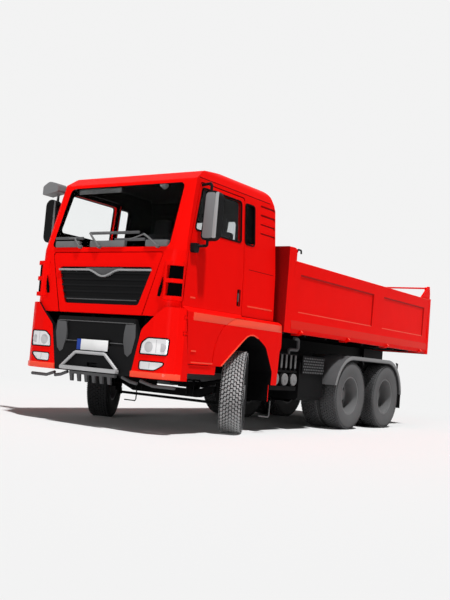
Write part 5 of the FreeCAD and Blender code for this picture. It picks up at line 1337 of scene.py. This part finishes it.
@dataclass
class SpringBolts:
    """U-bolts over the springs, brake chambers and tank straps."""

    springs: tuple = ((0.0, 0.420, 0.615), (3.030, 0.430, 0.690), (4.360, 0.430, 0.690))
    bolt_x: tuple = (0.374, 0.486)
    bolt: float = 0.009
    chamber_x: float = 0.560

    def bolts(self, piece: Piece) -> None:
        """Adds two U-bolts over each spring."""
        near, far = self.bolt_x
        for station, low, high in self.springs:
            for place in (station - 0.062, station + 0.062):
                for x in self.bolt_x:
                    piece.tube([at(x, place, low), at(x, place, high)], self.bolt)
                piece.tube([at(near, place, high), at(far, place, high)], self.bolt)

    def chambers(self, piece: Piece) -> None:
        """Adds a brake chamber with its clamp behind each rear axle."""
        for axle in (self.springs[1][0], self.springs[2][0]):
            for (start, low), (end, high), radius, rounding in (
                    ((0.110, 0.620), (0.290, 0.640), 0.080, 0.012),
                    ((0.190, 0.629), (0.205, 0.631), 0.088, 0.003)):
                piece.bar(at(self.chamber_x, axle + start, low),
                          at(self.chamber_x, axle + end, high), radius, radius, 28, rounding)

    def straps(self, piece: Piece) -> None:
        """Adds the fuel tank's two straps and its cap."""
        for station in (1.120, 1.880):
            piece.cuboid(at(-1.1325, station, 0.560), at(-1.127, station + 0.050, 0.900), 0.001)
        piece.bar(at(-0.850, 1.200, 1.008), at(-0.850, 1.200, 1.036), 0.066, 0.060, 28, 0.004)

    def build(self) -> None:
        """Builds the small steel parts below the frame."""
        both("spring_bolts", SPRING, "steel", self.bolts)
        both("brake_chambers", CHASSIS, "chassis_black", self.chambers)
        single("tank_straps", STEEL, "steel", self.straps)


@dataclass
class Seats:
    """Padded seats on their pedestals. A pad's row holds what Seats.pad() takes."""

    floor: float = 1.520
    base_x: tuple = (0.330, 0.630)
    pads: tuple = (
        ("seat_cushion_", (0.235, 0.725), (-0.51, 0.05, 1.855), (-0.51, 0.05, 1.975), 0.010),
        ("seat_back_", (0.245, 0.715), (0.030, 0.125, 1.930), (0.155, 0.240, 2.590), 0.010),
        ("seat_head_", (0.355, 0.605), (0.170, 0.232, 2.590), (0.195, 0.255, 2.780), 0.008))

    def pad(self, name: str, sides: Point, lower: Point, upper: Point, crown: float) -> None:
        """One crowned cushion.

        Args:
            name: Name of the cushion.
            sides: Its two sides along x.
            lower: Front, rear and height of its underside.
            upper: Front, rear and height of its top.
            crown: How far its faces stand out in the middle.
        """
        piece = Piece(name, CLOTH, "seat_fabric")
        for vert in bmesh.ops.create_cube(piece.mesh, size=1.0)["verts"]:
            front, rear, height = upper if vert.co.z > 0 else lower
            vert.co = at(sides[vert.co.x > 0], rear if vert.co.y > 0 else front, height)
        bmesh.ops.subdivide_edges(piece.mesh, edges=piece.mesh.edges[:], cuts=5,
                                  use_grid_fill=True)
        middle = sum((v.co for v in piece.mesh.verts), Vector()) / len(piece.mesh.verts)
        reach = max((v.co - middle).length for v in piece.mesh.verts)
        piece.mesh.normal_update()
        for vert in piece.mesh.verts:
            fall = 1.0 - (vert.co - middle).length / reach
            vert.co += vert.normal * crown * (fall * 2.2 - 0.35)
        cushion = piece.done(60.0)
        smooth = cushion.modifiers.new("padding", "SUBSURF")
        smooth.levels = 2
        smooth.render_levels = 2
        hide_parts("seats")

    def build(self) -> None:
        """Builds both seats."""
        for side, sign in SIDES:
            near, far = sorted(sign * x for x in self.base_x)
            box = (at(near, -0.420, self.floor), at(far, 0.020, self.floor + 0.330), 0.015)
            base = single("seat_base_" + side, DASH, "dash_plastic", boxes([box]))
            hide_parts("seats")
            for name, sides, lower, upper, crown in self.pads:
                self.pad(name + side, sorted(sign * x for x in sides), lower, upper, crown)


@dataclass
class Studio:
    """Floor, lights and world."""

    reach: float = 60.0
    tone: tuple = (0.895, 0.895, 0.895, 1)
    ground: tuple = (0.86, 0.86, 0.86, 1)
    fade: tuple = (5.0, 11.0)
    ambient: float = 0.10
    lights: tuple = (("key", (0.58, -0.24, 1.60), 3.0, 3.1),
                     ("front_fill", (0.1, -1.0, 0.10), 20.0, 1.2))

    def floor(self) -> None:
        """Pale floor that keeps the shadow and fades into the backdrop."""
        mesh = bmesh.new()
        bmesh.ops.create_grid(mesh, x_segments=1, y_segments=1, size=self.reach)
        data = bpy.data.meshes.new("studio_floor")
        mesh.to_mesh(data)
        mesh.free()
        ground = linked("studio_floor", data)
        material = bpy.data.materials.new("studio_floor")
        tree = Tree(material)
        shader = tree.fill(tree.found("BSDF_PRINCIPLED"), {
            "Base Color": self.ground, "Roughness": 1.0, "Specular IOR Level": 0.0})
        glow = tree.add("Emission", {"Color": self.tone})
        away = tree.add("VectorMath", {0: tree.add("TexCoord", {}).outputs["Object"]})
        away.operation = "LENGTH"
        near, far = self.fade
        fade = tree.add("MapRange", {"From Min": near, "From Max": far,
                                     "Value": away.outputs["Value"]})
        fade.interpolation_type = "SMOOTHSTEP"
        tree.mixed(fade.outputs["Result"], shader.outputs["BSDF"], glow.outputs["Emission"],
                   "OUTPUT_MATERIAL")
        data.materials.append(material)

    def world(self) -> None:
        """Even pale light, seen as a plain backdrop."""
        world = bpy.data.worlds.new("studio")
        bpy.context.scene.world = world
        tree = Tree(world)
        back = tree.fill(tree.found("BACKGROUND"), {"Color": (1.0, 1.0, 1.0, 1),
                                                    "Strength": self.ambient})
        seen = tree.add("Background", {"Color": self.tone, "Strength": 1.0})
        path = tree.add("LightPath", {})
        total = path.outputs["Is Camera Ray"]
        for name in ("Is Transmission Ray", "Is Glossy Ray"):
            node = tree.add("Math", {0: total, 1: path.outputs[name]})
            node.operation = "MAXIMUM"
            total = node.outputs[0]
        tree.mixed(total, back.outputs["Background"], seen.outputs["Background"],
                   "OUTPUT_WORLD")

    def sun(self, name: str, toward: Point, spread: float, energy: float) -> None:
        """One far light.

        Args:
            name: Name of the light.
            toward: Direction from the object to the light.
            spread: Width of the light in degrees, which softens the shadow.
            energy: Its strength.
        """
        data = bpy.data.lights.new(name, "SUN")
        data.energy = energy
        data.angle = math.radians(spread)
        light = linked(name, data)
        light.location = Vector(toward) * 8.0
        light.rotation_euler = Vector(toward).to_track_quat("Z", "Y").to_euler()

    def build(self) -> None:
        """Builds the whole studio."""
        self.floor()
        self.world()
        for light in self.lights:
            self.sun(*light)


@dataclass
class PhotoCamera:
    """Camera at the reference's view."""

    place: tuple = (6.916, -8.853, 0.904)
    yaw: float = math.radians(34.554)
    pitch: float = math.radians(4.099)
    roll: float = math.radians(4.727)
    focus_pixels: float = 839.38
    frame_pixels: float = 600.0
    sensor: float = 36.0

    def build(self) -> None:
        """Creates the camera and makes it the scene's."""
        ahead = Vector((-math.sin(self.yaw) * math.cos(self.pitch),
                        math.cos(self.yaw) * math.cos(self.pitch), math.sin(self.pitch)))
        level = Vector((math.cos(self.yaw), math.sin(self.yaw), 0.0))
        upright = level.cross(ahead)
        right = math.cos(self.roll) * level + math.sin(self.roll) * upright
        up = -math.sin(self.roll) * level + math.cos(self.roll) * upright
        data = bpy.data.cameras.new("photo_camera")
        data.sensor_width = self.sensor
        data.lens = self.focus_pixels * self.sensor / self.frame_pixels
        data.clip_end = 200.0
        camera = linked("photo_camera", data)
        turn = Matrix((right, up, -ahead)).transposed().to_4x4()
        camera.matrix_world = Matrix.Translation(at(*self.place)) @ turn
        bpy.context.scene.camera = camera
        bpy.context.scene.view_settings.view_transform = "Standard"


def dress_nodes() -> None:
    """Gives every CAD node its finish. Those that a piece replaces stay red and unseen."""
    for name, node in frame["nodes"].items():
        finish = NODE_FINISH.get(name, RED)
        if name.startswith("rim"):
            finish = RIM
        elif name.startswith("tyre"):
            finish = TYRE
        node.data.materials.clear()
        node.data.materials.append(finish.material())


def main() -> None:
    """Dresses the truck and sets the studio."""
    logging.basicConfig(level=logging.INFO, format="%(message)s")
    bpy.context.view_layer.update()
    dress_nodes()
    for part in (PhotoCamera(), Studio(), PaintedPanels(), Wheels(), GrilleTrim(), Windscreen(),
                 FrontLamps(), BumperTrim(), DoorTrim(), MirrorTrim(), SideGear(), SpringBolts(),
                 Seats()):
        part.build()
        log.info("built %s", type(part).__name__)
    bpy.context.view_layer.update()


if __name__ == "__main__":
    main()
